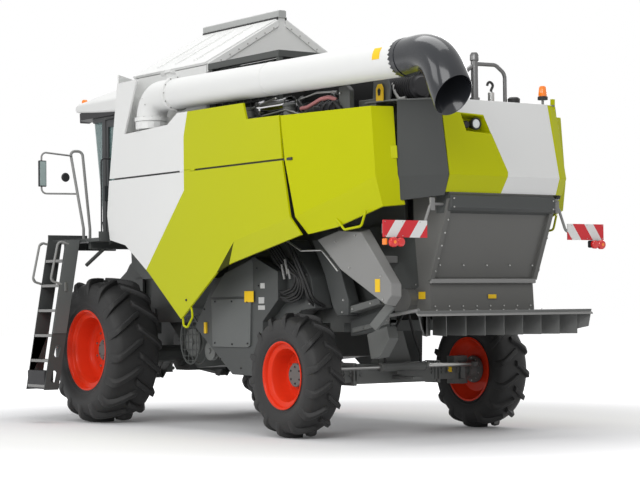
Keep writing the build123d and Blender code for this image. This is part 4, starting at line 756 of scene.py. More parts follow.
piped("bay_pipes", [
    [(-2.30, 1.14, 3.16), (-2.95, 1.15, 3.24), (-3.55, 1.16, 3.28), (-4.0, 1.17, 3.16)],
    [(-2.42, 1.10, 3.32), (-2.90, 1.12, 3.36), (-3.30, 1.12, 3.42)],
    [(-3.68, 1.12, 3.36), (-4.05, 1.14, 3.40), (-4.40, 1.14, 3.38)],
], 0.011, bolt_steel, bend=0.08, sides=10)
piped("pink_hose", [[(-3.86, 1.19, 3.26), (-4.0, 1.21, 3.26), (-4.22, 1.21, 3.32), (-4.34, 1.19, 3.33),
                     (-4.40, 1.15, 3.30)]], 0.021, pink_hose, bend=0.1)
piped("white_hose", [[(-4.86, 0.82, 3.42), (-4.93, 0.86, 3.42), (-4.98, 0.88, 3.33), (-5.04, 0.88, 3.26),
                      (-5.12, 0.86, 3.27)]], 0.016, white_hose, bend=0.06)
ribs = [(0.0, 0.0), (0.0, 0.105)]
for step in range(15):
    ribs += [(-0.012 - step * 0.034, 0.125), (-0.022 - step * 0.034, 0.125), (-0.030 - step * 0.034, 0.105)]
ribs += [(-0.53, 0.09), (-0.53, 0.0)]
turned("ribbed_hose", ribs, (-4.72, 0.76, 3.37), black_moulding, axis="x", segments=40)
# Near-black sheets along the bay's inner side, under the rim frame and at its rear end are painted shade
# where the bay lies in shadow.
stacked("bay_shade_sheets", [box((-4.69, -1.86), (0.60, 0.66), (2.64, 3.60)),
                     box((-3.16, -1.79), (0.60, 0.94), (3.20, 3.865)),
                     box((-5.20, -4.69), (0.50, 0.54), (3.255, 3.60))], bay_painted_shade, edge=0.006)
stacked("bay_grille", [box((-3.14, -1.82), (0.94, 0.952), (3.24 + 0.07 * row, 3.255 + 0.07 * row))
                       for row in range(9)] +
        [box((-3.14 + 0.14 * row, -3.125 + 0.14 * row), (0.94, 0.948), (3.22, 3.86)) for row in range(10)],
        chassis_grey, edge=0.002)
stacked("rear_bracket", [prism("y", [(-4.76, 3.24), (-5.03, 3.24), (-5.04, 3.36), (-5.0, 3.46),
                                     (-4.78, 3.46)], 0.965, 0.985)], skirt_light, edge=0.003)
stacked("lifting_tag", [prism("y", [(-4.86, 3.24), (-4.86, 3.37), (-4.89, 3.41), (-4.94, 3.41), (-4.97, 3.37),
                                    (-4.97, 3.24)], 1.005, 1.02)], yellow_film, edge=0.004)
# The tag's hole is filled near-black, a painted shade for the dark bay behind it.
stacked("tag_hole", [prism("y", [(-4.90, 3.30), (-4.89, 3.35), (-4.915, 3.375), (-4.94, 3.35), (-4.93, 3.30)],
                           1.02, 1.023)], bay_painted_shade, edge=0.001)
bolted("engine_bolts", row_of((-4.45, 1.14, 3.02), (-4.45, 1.14, 3.36), 4, (0, 1, 0)) +
       row_of((-3.05, 0.98, 2.90), (-3.05, 0.98, 3.30), 4, (0, 1, 0)) +
       row_of((-3.37, 0.98, 2.90), (-3.37, 0.98, 3.30), 4, (0, 1, 0)) +
       row_of((-2.66, 1.02, 2.95), (-2.66, 1.02, 3.25), 3, (0, 1, 0)), 0.014, bolt_steel)

# Grain tank: white sheet hopper with two roof lids, a ridge rail that seals them and a rim frame behind it.
# The gables stand proud of the lids as a folded flange.
white = (0.74, 0.745, 0.735)
enamel = {"rough": 0.3, "coat": 0.05, "shine": 0.12, "cloudy": 0.02}
white_enamel = sprayed("white_enamel", white, **enamel)
rounded(white_enamel, "grain_tank", "tank_lid_left", "tank_lid_right", edge=0.006)
rounded(chassis_grey, "rim_frame", edge=0.005, joined=False)
# Black for the rubber seals, also used as painted shadow in the panel grooves.
seal_rubber_and_shadow = sprayed("seal_rubber_and_shadow", (0.05, 0.05, 0.05), rough=0.55)
ridge_grey = sprayed("ridge_grey", (0.42, 0.43, 0.42), rough=0.4)
stacked("ridge_cap", [prism("x", [(-0.052, 4.52), (0.052, 4.52), (0.052, 4.597), (0.035, 4.607),
                                  (-0.035, 4.607), (-0.052, 4.597)], -1.79, -0.19)], ridge_grey, edge=0.004)
seal_bit = stacked("seal_bit", [box((0, 0.085), (0.052, 0.062), (4.50, 4.53)),
                                box((0, 0.085), (-0.062, -0.052), (4.50, 4.53))],
                   seal_rubber_and_shadow, None, edge=0.002)
repeated("ridge_seal", seal_bit, 16, seal_rubber_and_shadow, step=(0.1, 0, 0), centre=(-1.785, 0, 0))
for side, word in both_sides:
    trim = []
    for x0, x1 in ((-1.79, -1.768), (-0.208, -0.186)):
        trim.append(prism("x", [(side * 0.98, 3.86), (side * 0.98, 3.955), (side * 0.05, 4.50),
                                (side * 0.05, 4.42)], x0, x1))
    stacked(f"gable_flange_{word}", trim, white_enamel, edge=0.004)
bolted("tank_rivets", [place for side in (1, -1) for place in
                       row_of((-1.79, side * 0.93, 3.93), (-1.79, side * 0.12, 4.40), 8, (-1, 0, 0)) +
                       row_of((-1.776, side * 0.90, 3.0), (-1.776, side * 0.90, 3.8), 5, (-1, 0, 0))],
       0.010, bolt_steel)

# Unloading auger: a rolled white steel tube on a turning elbow, folded back along the machine's left side.
# The elbow stands in the panel's recess, its flange is bolted, and a dark moulded spout closes the far end.
spout_plastic = sprayed("spout_plastic", (0.022, 0.024, 0.028), rough=0.22, coat=0.5, cloudy=0.05, skin=0.05)
auger_y, auger_low, auger_top = 1.29, 3.3503, 3.62
auger_root, auger_end = Vector((-1.1, auger_y, auger_top)), Vector((-5.65, auger_y, 3.56))
auger_r = 0.168
rounded(white_enamel, "auger_foot", edge=0.006)
tube = piped("auger_tube_rolled", [[(auger_root.x, auger_y, auger_low), auger_root, auger_end]], auger_r,
             white_enamel, "auger", bend=0.24, sides=48)
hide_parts("auger_tube")


def auger_at(x):
    """The tube's middle at this x."""
    return auger_root.lerp(auger_end, (x - auger_root.x) / (auger_end.x - auger_root.x))


for name, x, width, out in (("auger_flange_a", -1.62, 0.012, 0.022), ("auger_flange_b", -1.645, 0.012, 0.022),
                            ("auger_seam", -3.5, 0.004, 0.003)):
    turned(name, [(-width, auger_r - 0.004), (-width, auger_r + out), (width, auger_r + out),
                  (width, auger_r - 0.004)], auger_at(x), white_enamel, "auger", axis="x", closed=True)
bolted("auger_flange_bolts", ring_of(auger_at(-1.66), auger_r + 0.011, 12, (-1, 0, 0), axis="x"), 0.008,
       bolt_steel, "auger")
turned("elbow_ring", [(-0.02, auger_r - 0.004), (-0.02, auger_r + 0.02), (0.02, auger_r + 0.02),
                      (0.02, auger_r - 0.004)], (-1.1, auger_y, 3.375), white_enamel, "auger", axis="z",
       closed=True)
bolted("elbow_bolts", ring_of((-1.1, auger_y, 3.395), auger_r + 0.011, 12, (0, 0, 1), axis="z"), 0.008,
       bolt_steel, "auger")
bolted("elbow_rivets", [((-1.1 - 0.16 * math.cos(a) + 0.02, auger_y + 0.163, 3.50 + 0.12 * math.sin(a)),
                         (0, 1, 0)) for a in (0.2, 0.9, 1.5)], 0.008, bolt_steel, "auger")


def on_tube(x, angle, lift=0.001):
    centre = auger_at(x)
    return Vector((x, centre.y + (auger_r + lift) * math.cos(angle),
                   centre.z + (auger_r + lift) * math.sin(angle)))


def tube_plate(name, x0, x1, low, high, material, lift=0.003, rows=6):
    """A film or sheet that follows the round of the tube."""
    points, faces = [], []
    for row in range(rows + 1):
        angle = low + (high - low) * row / rows
        points += [on_tube(x0, angle, lift), on_tube(x1, angle, lift), on_tube(x0, angle), on_tube(x1, angle)]
    for row in range(rows):
        a = row * 4
        faces += [(a, a + 1, a + 5, a + 4), (a + 2, a + 3, a + 7, a + 6), (a, a + 4, a + 6, a + 2),
                  (a + 1, a + 5, a + 7, a + 3)]
    faces += [(0, 1, 3, 2), (rows * 4, rows * 4 + 1, rows * 4 + 3, rows * 4 + 2)]
    return made_of(name, points, faces, material, "auger")


tube_plate("auger_plate_yellow", -5.50, -5.39, -0.02, 0.66, yellow_film)
spout_run = [Vector((-5.66, auger_y, 3.56)), Vector((-6.13, auger_y, 3.575)),
             Vector((-6.355, auger_y, 3.158))]
mouth_edge = Vector((0.586, 0, -0.811))
spout_r, mouth_r = 0.177, 0.190
bend_from, bend_to = 0.27, 0.22
run_in = (spout_run[1] - spout_run[0]).normalized()
run_out = (spout_run[2] - spout_run[1]).normalized()
bend_start, bend_end = spout_run[1] - run_in * bend_from, spout_run[1] + run_out * bend_to
steps = 14
centre_line = [spout_run[0]]
for step in range(steps + 1):
    t = step / steps
    centre_line.append(bend_start * (1 - t) ** 2 + spout_run[1] * 2 * t * (1 - t) + bend_end * t ** 2)
centre_line.append(spout_run[2])
around = 48
side_way = Vector((0, 1, 0))


def spout_ring(centre, along, radius):
    """One ring of the wall. The mouth is cut on a slant, so its ring is stretched along the cut."""
    up_way = along.cross(side_way).normalized()
    if (centre - spout_run[2]).length < 0.02:
        up_way = mouth_edge / abs(mouth_edge.dot(up_way)) * (1 if mouth_edge.dot(up_way) > 0 else -1)
    return [centre + side_way * radius * math.cos(math.tau * k / around) +
            up_way * radius * math.sin(math.tau * k / around) for k in range(around)]


spout_points, spout_faces, spout_rings = [], [], []
for index, place in enumerate(centre_line):
    before, after = centre_line[max(index - 1, 0)], centre_line[min(index + 1, len(centre_line) - 1)]
    spout_rings.append((place, (after - before).normalized(),
                        spout_r + (mouth_r - spout_r) * index / (steps + 2)))
wall = 0.008
mouth, mouth_way, mouth_out = spout_rings[-1]
wall_rows = spout_rings[:-1] + [(mouth, mouth_way, mouth_out),
                                (mouth + mouth_way * 0.004, mouth_way, mouth_out - 0.002),
                                (mouth + mouth_way * 0.004, mouth_way, mouth_out - wall + 0.002)]
wall_rows += [(place, along, radius - wall) for place, along, radius in reversed(spout_rings)]
for place, along, radius in wall_rows:
    spout_points += spout_ring(place, along, radius)
rings = len(wall_rows)
for row in range(rings):
    here, there = row * around, (row + 1) % rings * around
    for k in range(around):
        spout_faces.append((here + k, here + (k + 1) % around, there + (k + 1) % around, there + k))
spout = made_of("auger_spout_moulded", spout_points, spout_faces, spout_plastic, "auger", crease=40)
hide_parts("auger_spout")
# the spout's clamping teeth that grip the tube's end
tooth = made_of("tooth", [(0, -0.02, 0.1685), (0, 0.02, 0.1685), (0.035, 0, 0.1685), (0, -0.02, 0.178),
                          (0, 0.02, 0.178), (0.035, 0, 0.174)],
                [(0, 1, 2), (3, 4, 5), (0, 1, 4, 3), (1, 2, 5, 4), (2, 0, 3, 5)], spout_plastic, None)
repeated("spout_teeth", tooth, 26, spout_plastic, "auger", turn=(math.tau / 26, 0, 0),
         centre=(-5.66, auger_y, 3.5605))
turned("spout_band", [(-0.012, 0.177), (-0.012, 0.182), (0.012, 0.182), (0.012, 0.177)],
       (-5.71, auger_y, 3.559), spout_plastic, "auger", axis="x", closed=True)

# Side panels: folded sheet in glossy enamel, off-white ahead of a cranked border and lime behind it.
# Their lower edge is folded inwards along a crease, and handles are bent rod in the same lime.
lime = (0.475, 0.50, 0.0)


def front_sheet(start, place):
    """The side panels are off-white ahead of a cranked line and lime behind it."""
    split = start.node("ShaderNodeSeparateXYZ", {"Vector": place}, outlet="X")
    height = start.node("ShaderNodeSeparateXYZ", {"Vector": place}, outlet="Z")
    lower = -1.99 - (height - 2.55) * 0.973
    upper = (height - 3.12).maths("MAXIMUM", 0.0) * 0.32
    border = lower.maths("MAXIMUM", -1.985) - upper
    return border.maths("GREATER_THAN", split), lime


lime_enamel = sprayed("lime_enamel", lime, **enamel)
panel_enamel = sprayed("panel_enamel", white, split=front_sheet, **enamel)
crease_slope = 0.22
crease_start = (-2.955, 1.968)
crease_ends = [(-2.62, 1.655), (-2.79, 1.745), (-3.99, 2.176), (-4.62, 2.36), (-5.20, 2.56)]
# corner of the flap's lower edge in the solid, and where the sheet has it
flap_corners = [((-3.0, 1.95), (-2.80, 1.745)), ((-2.71, 1.68), (-2.64, 1.67)),
                ((-2.03, 1.08), (-1.905, 1.178))]
door_lean = 0.09


def folded(shape):
    """The band below the crease is folded inwards, from a small gusset at its front end."""
    side = 1 if sum(vertex.co.y for vertex in shape.verts) > 0 else -1
    for vertex in shape.verts:
        for (x, z), sheet in flap_corners:
            if math.hypot(vertex.co.x - x, vertex.co.z - z) < 0.03:
                vertex.co.x, vertex.co.z = sheet
        if vertex.co.x < -4.9:
            vertex.co.x += (vertex.co.z - 2.75) * door_lean
    points = [crease_start, *crease_ends[2:]]
    lines = [(crease_start, crease_ends[0]), (crease_start, crease_ends[1]), *zip(points, points[1:])]
    for (x0, z0), (x1, z1) in lines:
        across = Vector((z1 - z0, 0, x0 - x1)).normalized()
        bmesh.ops.bisect_plane(shape, geom=[*shape.verts, *shape.edges, *shape.faces], plane_co=(x0, 0, z0),
                               plane_no=across, dist=0.0001)
    turns = [math.atan2(x - crease_start[0], crease_start[1] - z) for x, z in crease_ends[:2]]
    for vertex in shape.verts:
        x, z = vertex.co.x, vertex.co.z
        crease_z = None
        for (x0, z0), (x1, z1) in zip(points, points[1:]):
            if x1 - 0.3 * (x1 == points[-1][0]) <= x <= x0:
                crease_z = z0 + (z1 - z0) * (x - x0) / (x1 - x0)
        turn = math.atan2(x - crease_start[0], crease_start[1] - z)
        if x > crease_start[0] and turn < turns[0]:
            crease_z = crease_start[1]
        if crease_z is not None and z < crease_z:
            share = min(1, max(0, (turns[0] - turn) / (turns[0] - turns[1])))
            vertex.co.y -= side * (crease_z - z) * crease_slope * share


rounded(panel_enamel, "upper_panels", edge=0.004)
for side, word in both_sides:
    recess = [(-0.56, side * 1.40), (-0.20, side * 1.0), (-0.185, side * 1.012), (-0.545, side * 1.412)]
    stacked(f"recess_wall_{word}", [prism("z", recess, 3.16, 3.925)], white_enamel, edge=0.002)
# The gusset's faces are painted a dark lime, a painted shade for the fold's gap, which lies in shadow.
gusset_painted_shade = sprayed("gusset_painted_shade", (0.05, 0.055, 0.0), rough=0.6)
for flap in rounded(panel_enamel, "side_flap_left", "side_flap_right", edge=0.003, split_by=folded):
    flap.data.materials.append(gusset_painted_shade)
    limits = [math.atan2(x - crease_start[0], crease_start[1] - z) for x, z in crease_ends[:2]]
    for face in flap.data.polygons:
        turn = math.atan2(face.center.x - crease_start[0], crease_start[1] - face.center.z)
        if face.center.z < crease_start[1] and limits[1] < turn < limits[0] and face.center.x < -2.6:
            face.material_index = 1
rounded(lime_enamel, "rear_door_left", "rear_door_right", edge=0.003, split_by=folded)
for side, word in both_sides:
    piped(f"door_handle_{word}", [[(-4.515, side * 1.245, 2.14), (-4.63, side * 1.24, 2.03),
                                   (-4.87, side * 1.215, 2.055), (-4.93, side * 1.205, 2.20)]],
          0.012, lime_enamel, f"rear_door_{word}", bend=0.05)
    piped(f"flap_handle_{word}", [[(-2.04, side * 1.395, 1.36), (-2.115, side * 1.41, 1.273),
                                   (-2.126, side * 1.41, 1.20), (-2.02, side * 1.41, 1.088),
                                   (-1.945, side * 1.41, 1.108), (-1.90, side * 1.395, 1.22)]],
          0.012, lime_enamel, f"side_flap_{word}", bend=0.04)
    bolted(f"flap_latch_{word}", [((-2.02, side * 1.419, 1.38), (0, side, 0))], 0.014, bolt_black,
           f"side_flap_{word}", sides=16)
    # A thin black strip along the groove between upper panel and flap is a painted shadow.
    stacked(f"groove_shadow_{word}", [box((-3.98, -0.45), beside(side, 1.38, 1.4), (2.737, 2.763))],
            seal_rubber_and_shadow, edge=0.001)

# Rear hood: folded sheet with lamp recesses, lime at its corners and off-white in the middle of its back.
# Dark grey slanted walls close the gap to the rear doors. Exhaust, rail arch and caps stand on its roof.


def hood_sheet(start, place):
    """Lime left of a slanted border and right of another, off-white between them and along the top."""
    y = start.node("ShaderNodeSeparateXYZ", {"Vector": place}, outlet="Y")
    z = start.node("ShaderNodeSeparateXYZ", {"Vector": place}, outlet="Z")
    upper = 0.20 - (3.102 - z) * 0.41
    lower = -0.022 + (2.567 - z) * 0.2
    left_lime = y.maths("GREATER_THAN", upper.maths("MAXIMUM", lower))
    under_top = (3.10 + y * 0.04).maths("GREATER_THAN", z)
    right_lime = (-0.672 + (z - 2.52) * 0.055).maths("GREATER_THAN", y)
    roof = z.maths("GREATER_THAN", 3.243)
    return (left_lime * under_top + right_lime * (1 - roof)).maths("MINIMUM", 1.0), lime


hood_enamel = sprayed("hood_enamel", white, split=hood_sheet, **enamel)
wall_grey = sprayed("wall_grey", (0.05, 0.053, 0.052), rough=0.36, coat=0.1)
hood_front, hood_low, hood_fold, hood_top = -4.7, 2.36, 2.52, 3.25


def hood_x(z):
    """The hood's back leans forward above its fold and below it."""
    if z > hood_fold:
        return -5.57 + 0.12 * (z - hood_fold) / (hood_top - hood_fold)
    return -5.57 + (hood_fold - z) * 0.44


def on_back(rows, depth=0.0):
    return [(hood_x(z) + depth, y, z) for y, z in rows]


left_y, right_y, flare_y = 0.70, -0.69, -0.79
hood_points = on_back([(left_y, hood_top), (left_y, hood_fold), (right_y, hood_fold),
                       (right_y + 0.03, hood_top)])
hood_points += on_back([(0.48, 3.11), (0.434, 2.942), (0.126, 2.927), (0.197, 3.094)])
hood_points += on_back([(0.445, 3.085), (0.405, 2.97), (0.165, 2.955), (0.22, 3.07)], 0.11)
hood_points += on_back([(left_y, hood_low), (right_y, hood_low)])
hood_points += on_back([(flare_y + 0.03, hood_top), (flare_y, hood_fold), (flare_y, hood_low)], 0.03)
hood_points += [(hood_front, y, z) for y, z in ((left_y, hood_top), (left_y, hood_low), (flare_y, hood_low),
                                                (flare_y + 0.03, hood_top), (flare_y, hood_fold),
                                                (left_y, hood_fold))]
hood_faces = [(0, 1, 5, 4), (1, 2, 6, 5), (2, 3, 7, 6), (3, 0, 4, 7), (4, 5, 9, 8), (5, 6, 10, 9),
              (6, 7, 11, 10), (7, 4, 8, 11), (8, 9, 10, 11), (1, 12, 13, 2), (3, 2, 15, 14), (2, 13, 16, 15),
              (0, 3, 14, 20, 17), (17, 22, 1, 0), (22, 18, 12, 1), (14, 15, 21, 20), (15, 16, 19, 21),
              (17, 20, 21, 19, 18, 22)]
hood = made_of("rear_hood_sheet", hood_points, hood_faces, hood_enamel, None, crease=0)
thick = hood.modifiers.new("sheet", "SOLIDIFY")
thick.thickness, thick.offset = 0.014, -1
broken_edges(hood, 0.004, angle=30)
settled(hood, 0)
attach(hood, "chassis")
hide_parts("rear_hood")
for side, word in both_sides:
    rear = 0.715 if side == 1 else 0.79
    ends = [(-5.13, 0.975, 2.29), (hood_x(hood_low) - 0.004, rear, hood_low - 0.03),
            (hood_x(hood_fold) - 0.004, rear, hood_fold), (hood_x(hood_top) - 0.004, rear, 3.24),
            (-5.13, 0.975, 3.24), (-5.13, 0.975, hood_fold)]
    if side == -1:
        ends = [(x + 0.06 * (index in (1, 2, 3)), y, z) for index, (x, y, z) in enumerate(ends)]
    outer_row = [(x, side * y, z) for x, y, z in ends]
    inner_row = [(x + 0.03, side * (y - 0.03), z) for x, y, z in ends]
    stacked(f"hood_wall_{word}", [(outer_row + inner_row, [
        (0, 1, 2, 5), (5, 2, 3, 4), (6, 7, 8, 11), (11, 8, 9, 10), (0, 1, 7, 6), (1, 2, 8, 7), (2, 3, 9, 8),
        (3, 4, 10, 9), (4, 5, 11, 10), (5, 0, 6, 11)])], wall_grey, edge=0.003)
exhaust_steel = sprayed("exhaust_steel", (0.16, 0.16, 0.16), rough=0.3, metal=0.7)
stack = piped("exhaust_stack", [[(-5.0, -0.09, 3.24), (-5.0, -0.09, 3.70)]], 0.036, exhaust_steel, sides=32)
turned("exhaust_cap", [(0.0, 0.036), (0.01, 0.044), (0.06, 0.044), (0.085, 0.03), (0.085, 0.0)],
       (-5.0, -0.09, 3.69), exhaust_steel, axis="z", segments=32)
turned("exhaust_collar", [(-0.05, 0.034), (-0.05, 0.05), (0.03, 0.05), (0.03, 0.034)], (-5.0, -0.09, 3.30),
       exhaust_steel, axis="z", closed=True)
piped("hood_rail", [[(-5.0, 0.03, 3.24), (-5.0, 0.03, 3.58), (-5.0, -0.10, 3.665), (-5.0, -0.36, 3.67),
                     (-5.0, -0.48, 3.59), (-5.0, -0.48, 3.24)]], 0.02, exhaust_steel, bend=0.09)
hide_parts("exhaust_pipe")
turned("filler_cap", [(0, 0.0), (0, 0.03), (0.05, 0.03), (0.052, 0.06), (0.10, 0.062), (0.115, 0.045),
                      (0.115, 0.0)], (-5.04, -0.56, 3.24), bolt_black, axis="z")
piped("hood_hook", [[(-5.0, -0.30, 3.24), (-5.0, -0.30, 3.42), (-5.0, -0.335, 3.47), (-5.0, -0.27, 3.51),
                     (-5.0, -0.25, 3.46)]], 0.013, bolt_black, bend=0.03)
turned("hook_sleeve", [(0, 0.0), (0, 0.032), (0.14, 0.032), (0.15, 0.02), (0.15, 0.0)], (-5.0, -0.30, 3.25),
       bolt_steel, axis="z", segments=24)
stacked("hood_tab", [box((-5.44, -5.42), (-0.745, -0.70), (3.19, 3.31))], lime_enamel, edge=0.002)
bolted("hood_rivets", row_of((-5.43, 0.70, 2.55), (-5.34, 0.70, 3.15), 4, (-1, 0.3, 0)) +
       row_of((-5.50, 0.60, 2.33), (-5.50, -0.60, 2.33), 2, (-1, 0, 0)), 0.009, bolt_black)
# the lip along the top of the slanted walls
for side, word in both_sides:
    stacked(f"wall_lip_{word}", [prism("z", [(-5.12, side * 1.0), (-5.46, side * 0.72), (-5.40, side * 0.66),
                                             (-4.72, side * 0.66), (-4.72, side * 1.05)], 3.235, 3.25)],
            cast_grey, edge=0.003)

# Straw outlet: a folded chute below the hood, the chopper box and the flared spreader with upright vanes.
# All of it is satin grey sheet, riveted along its seams.
chute_grey = sprayed("chute_grey", (0.128, 0.128, 0.122), rough=0.38)
rounded(chute_grey, "straw_chute", "chopper", edge=0.006)
spreader_grey = sprayed("spreader_grey", (0.135, 0.138, 0.135), rough=0.35)


def clipped_wings(shape):
    """The outer lower corners of the spreader's wings are cut off."""
    for vertex in shape.verts:
        if abs(vertex.co.y) > 0.95 and vertex.co.z < 1.1:
            vertex.co.z += 0.07
            vertex.co.y *= 0.96


rounded(spreader_grey, "spreader", edge=0.003, split_by=clipped_wings)
stacked("chute_header", [prism("y", [(-5.50, 2.345), (-5.525, 2.33), (-5.53, 2.22), (-5.50, 2.19),
                                     (-5.44, 2.165), (-5.30, 2.165), (-5.30, 2.345)], -0.655, 0.655)],
        skirt_grey, edge=0.008)
stacked("chute_rub_strip", [prism("y", [(-5.19, 1.555), (-5.225, 1.55), (-5.225, 1.51), (-5.19, 1.505)],
                                  -0.655, 0.655)], light_grey, edge=0.004)
bolted("chute_rivets", row_of((-5.255, 0.58, 1.68), (-5.255, -0.58, 1.68), 5, (-1, 0, 0.1)) +
       row_of((-5.53, 0.62, 2.30), (-5.53, 0.62, 2.22), 2, (-1, 0, 0)) +
       row_of((-5.53, -0.62, 2.30), (-5.53, -0.62, 2.22), 2, (-1, 0, 0)) +
       row_of((-5.2, 0.6, 1.29), (-5.2, -0.6, 1.29), 8, (-1, 0, 0)) +
       row_of((-5.28, 0.65, 1.62), (-5.48, 0.65, 2.1), 5, (0, 1, 0)) +
       row_of((-4.98, 0.65, 1.30), (-4.98, 0.65, 1.50), 3, (0, 1, 0)), 0.010, bolt_steel)
bolted("spreader_rivets", row_of((-5.30, 0.66, 1.25), (-5.30, -0.66, 1.25), 9, (0, 0, 1)), 0.009, bolt_steel)
stacked("spreader_lip", [prism("y", [(-5.53, 1.235), (-5.565, 1.215), (-5.57, 1.20), (-5.545, 1.212)], -1.09,
                               1.09)], light_grey, edge=0.001)
piped("spreader_stay", [[(-4.62, 0.72, 1.16), (-4.72, 0.80, 1.20), (-5.18, 0.78, 1.255)]], 0.016, light_grey)
piped("right_side_rail", [[(-5.10, -0.67, 1.62), (-5.10, -0.80, 1.62), (-5.10, -0.80, 1.95),
                           (-5.10, -0.92, 1.96)]], 0.014, light_grey, bend=0.03)

# Warning boards: flat sheets with red and white slanted stripes on bent tubes, with the tail lamps below.
# The stripes fall outwards on both sides.


def board_stripes(start, place):
    y = start.node("ShaderNodeSeparateXYZ", {"Vector": place}, outlet="Y")
    z = start.node("ShaderNodeSeparateXYZ", {"Vector": place}, outlet="Z")
    out = y.maths("ABSOLUTE")
    sloped = (out + (z - 1.93) * 0.72 - 0.129) / 0.276
    return (0.44 - sloped.maths("FRACT")).maths("GREATER_THAN", 0.0), (0.74, 0.74, 0.73)


board_film = sprayed("board_film", (0.62, 0.02, 0.03), rough=0.35, coat=0.3, cloudy=0.02, split=board_stripes)
boards = stacked("warning_boards_sheet", [box((-5.431, -5.416), (0.865, 1.38), (1.93, 2.09)),
                                          box((-5.431, -5.416), (-1.38, -0.90), (1.93, 2.09))], board_film,
                 edge=0.002)
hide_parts("warning_boards")
arms = [[(-5.402, side * 0.65, 2.25), (-5.402, side * 0.80, 2.25), (-5.402, side * 0.90, 2.01),
         (-5.402, side * 1.34, 2.01)] for side in (1, -1)]
arm_piece = piped("board_arms_bent", arms, 0.0139, light_grey, bend=0.06, sides=18)
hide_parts("board_arms")
stacked("arm_plates", [box((-5.415, -5.39), (side * 0.78 - 0.025, side * 0.78 + 0.025), (2.19, 2.31))
                       for side in (1, -1)] +
        [box((-5.40, -5.393), beside(side, 0.97, 1.37), (1.965, 2.055)) for side in (1, -1)],
        light_grey, edge=0.003)
bolted("board_rivets", [((-5.431, side * y, z), (-1, 0, 0)) for side in (1, -1) for y in (0.95, 1.155, 1.36)
                        for z in (1.945, 2.075)], 0.005, bolt_steel, sides=10)

# Lamps: tail lamps with red and amber lenses, round work lamps in the hood and below the cab roof,
# and two amber beacons. Housings are black moulded plastic, lenses clear or coloured acrylic.
# The red and amber lenses carry a faint painted glow in their own colour, standing in for light caught inside
# them.
lens_red = sprayed("lens_red", (0.6, 0.012, 0.01), rough=0.12, coat=0.8, cloudy=0.02, glow=0.12)
lens_amber = sprayed("lens_amber", (0.85, 0.2, 0.01), rough=0.12, coat=0.8, cloudy=0.02, glow=0.15)
lens_clear = sprayed("lens_clear", (0.72, 0.75, 0.76), rough=0.08, coat=0.9, cloudy=0.02)
lamp_base = stacked("tail_lamp_backs", [box((-5.46, -5.395), beside(side, 1.19, 1.32), (1.855, 1.928))
                                        for side in (1, -1)], black_moulding, edge=0.012)
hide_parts("lamps")
lens_profile = [(0.0, 0.0), (0.0, 0.036), (-0.004, 0.042), (-0.028, 0.042), (-0.036, 0.036), (-0.04, 0.015),
                (-0.04, 0.0)]
lamp_spots = [("tail_lamp_inner", 1.215, lens_red, 1.0), ("tail_lamp_outer", 1.30, lens_red, 1.12)]
for side, word in both_sides:
    for name, y, material, size in lamp_spots:
        turned(f"{name}_{word}", [(x * size, r * size) for x, r in lens_profile], (-5.46, side * y, 1.885),
               material, axis="x", segments=32)
    stacked(f"side_marker_{word}", [box((-5.45, -5.39), beside(side, 1.345, 1.368), (1.86, 1.92))],
            lens_amber, edge=0.008)
    turned(f"tail_reflector_{word}", [(0, 0.0), (0, 0.016), (-0.006, 0.016), (-0.008, 0.0)],
           (-5.50, side * 1.30, 1.885), lens_amber, axis="x", segments=24)
hood_lamp = [(-0.10, 0.0), (-0.10, 0.03), (-0.05, 0.05), (-0.012, 0.058), (0.0, 0.058), (0.004, 0.05),
             (-0.004, 0.047), (-0.006, 0.0)]
lamp_lens = [(-0.006, 0.046), (0.006, 0.03), (0.01, 0.0)]
for word, x, y, z in (("left", -5.47, 0.285, 3.02), ("right", -5.40, -0.735, 3.03)):
    turned(f"hood_lamp_{word}", [(-along, r) for along, r in hood_lamp], (x, y, z), black_moulding,
           axis="x", segments=32)
    turned(f"hood_lens_{word}", [(-along, r) for along, r in lamp_lens], (x, y, z), lens_clear, axis="x",
           segments=32)
turned("hood_plug", [(0.06, 0.0), (0.06, 0.036), (0.0, 0.036), (-0.01, 0.03), (-0.01, 0.0)],
       (-5.44, 0.385, 3.01), black_moulding, axis="x", segments=20)
beacon_profile = [(0.0, 0.0), (0.0, 0.05), (0.03, 0.05), (0.034, 0.042), (0.034, 0.0)]
dome_profile = [(0.034, 0.04), (0.05, 0.043), (0.12, 0.036), (0.135, 0.026), (0.138, 0.0)]
for name, spot in (("front_beacon", (1.53, 0.705, 3.735)), ("rear_beacon", (-5.40, -0.62, 3.30))):
    turned(f"{name}_base", beacon_profile, spot, black_moulding, axis="z", segments=32)
    turned(f"{name}_dome", dome_profile, spot, lens_amber, axis="z", segments=32)
piped("beacon_stems", [[(-5.40, -0.62, 3.24), (-5.40, -0.62, 3.31)],
                       [(1.48, 0.705, 3.73), (1.53, 0.705, 3.73), (1.53, 0.705, 3.745)]], 0.013, light_grey,
      bend=0.02)
for index, y in enumerate((0.75, 0.30, -0.30, -0.75)):
    stacked(f"work_lamp_{index}", [prism("y", [(1.38, 3.69), (1.39, 3.58), (1.45, 3.565), (1.46, 3.69)],
                                         y - 0.07, y + 0.07)], black_moulding, edge=0.012)
    stacked(f"work_lens_{index}", [box((1.452, 1.463), (y - 0.056, y + 0.056), (3.585, 3.67))], lens_clear,
            edge=0.003)

# Cab: welded shell in dark grey under a moulded white roof, with tinted glass all round.
# The door hangs on two hinges at its rear post.
cab_grey = sprayed("cab_grey", (0.045, 0.048, 0.05), rough=0.4, skin=0.08)
rounded(cab_grey, "cab_shell", "cab_door", edge=0.006)


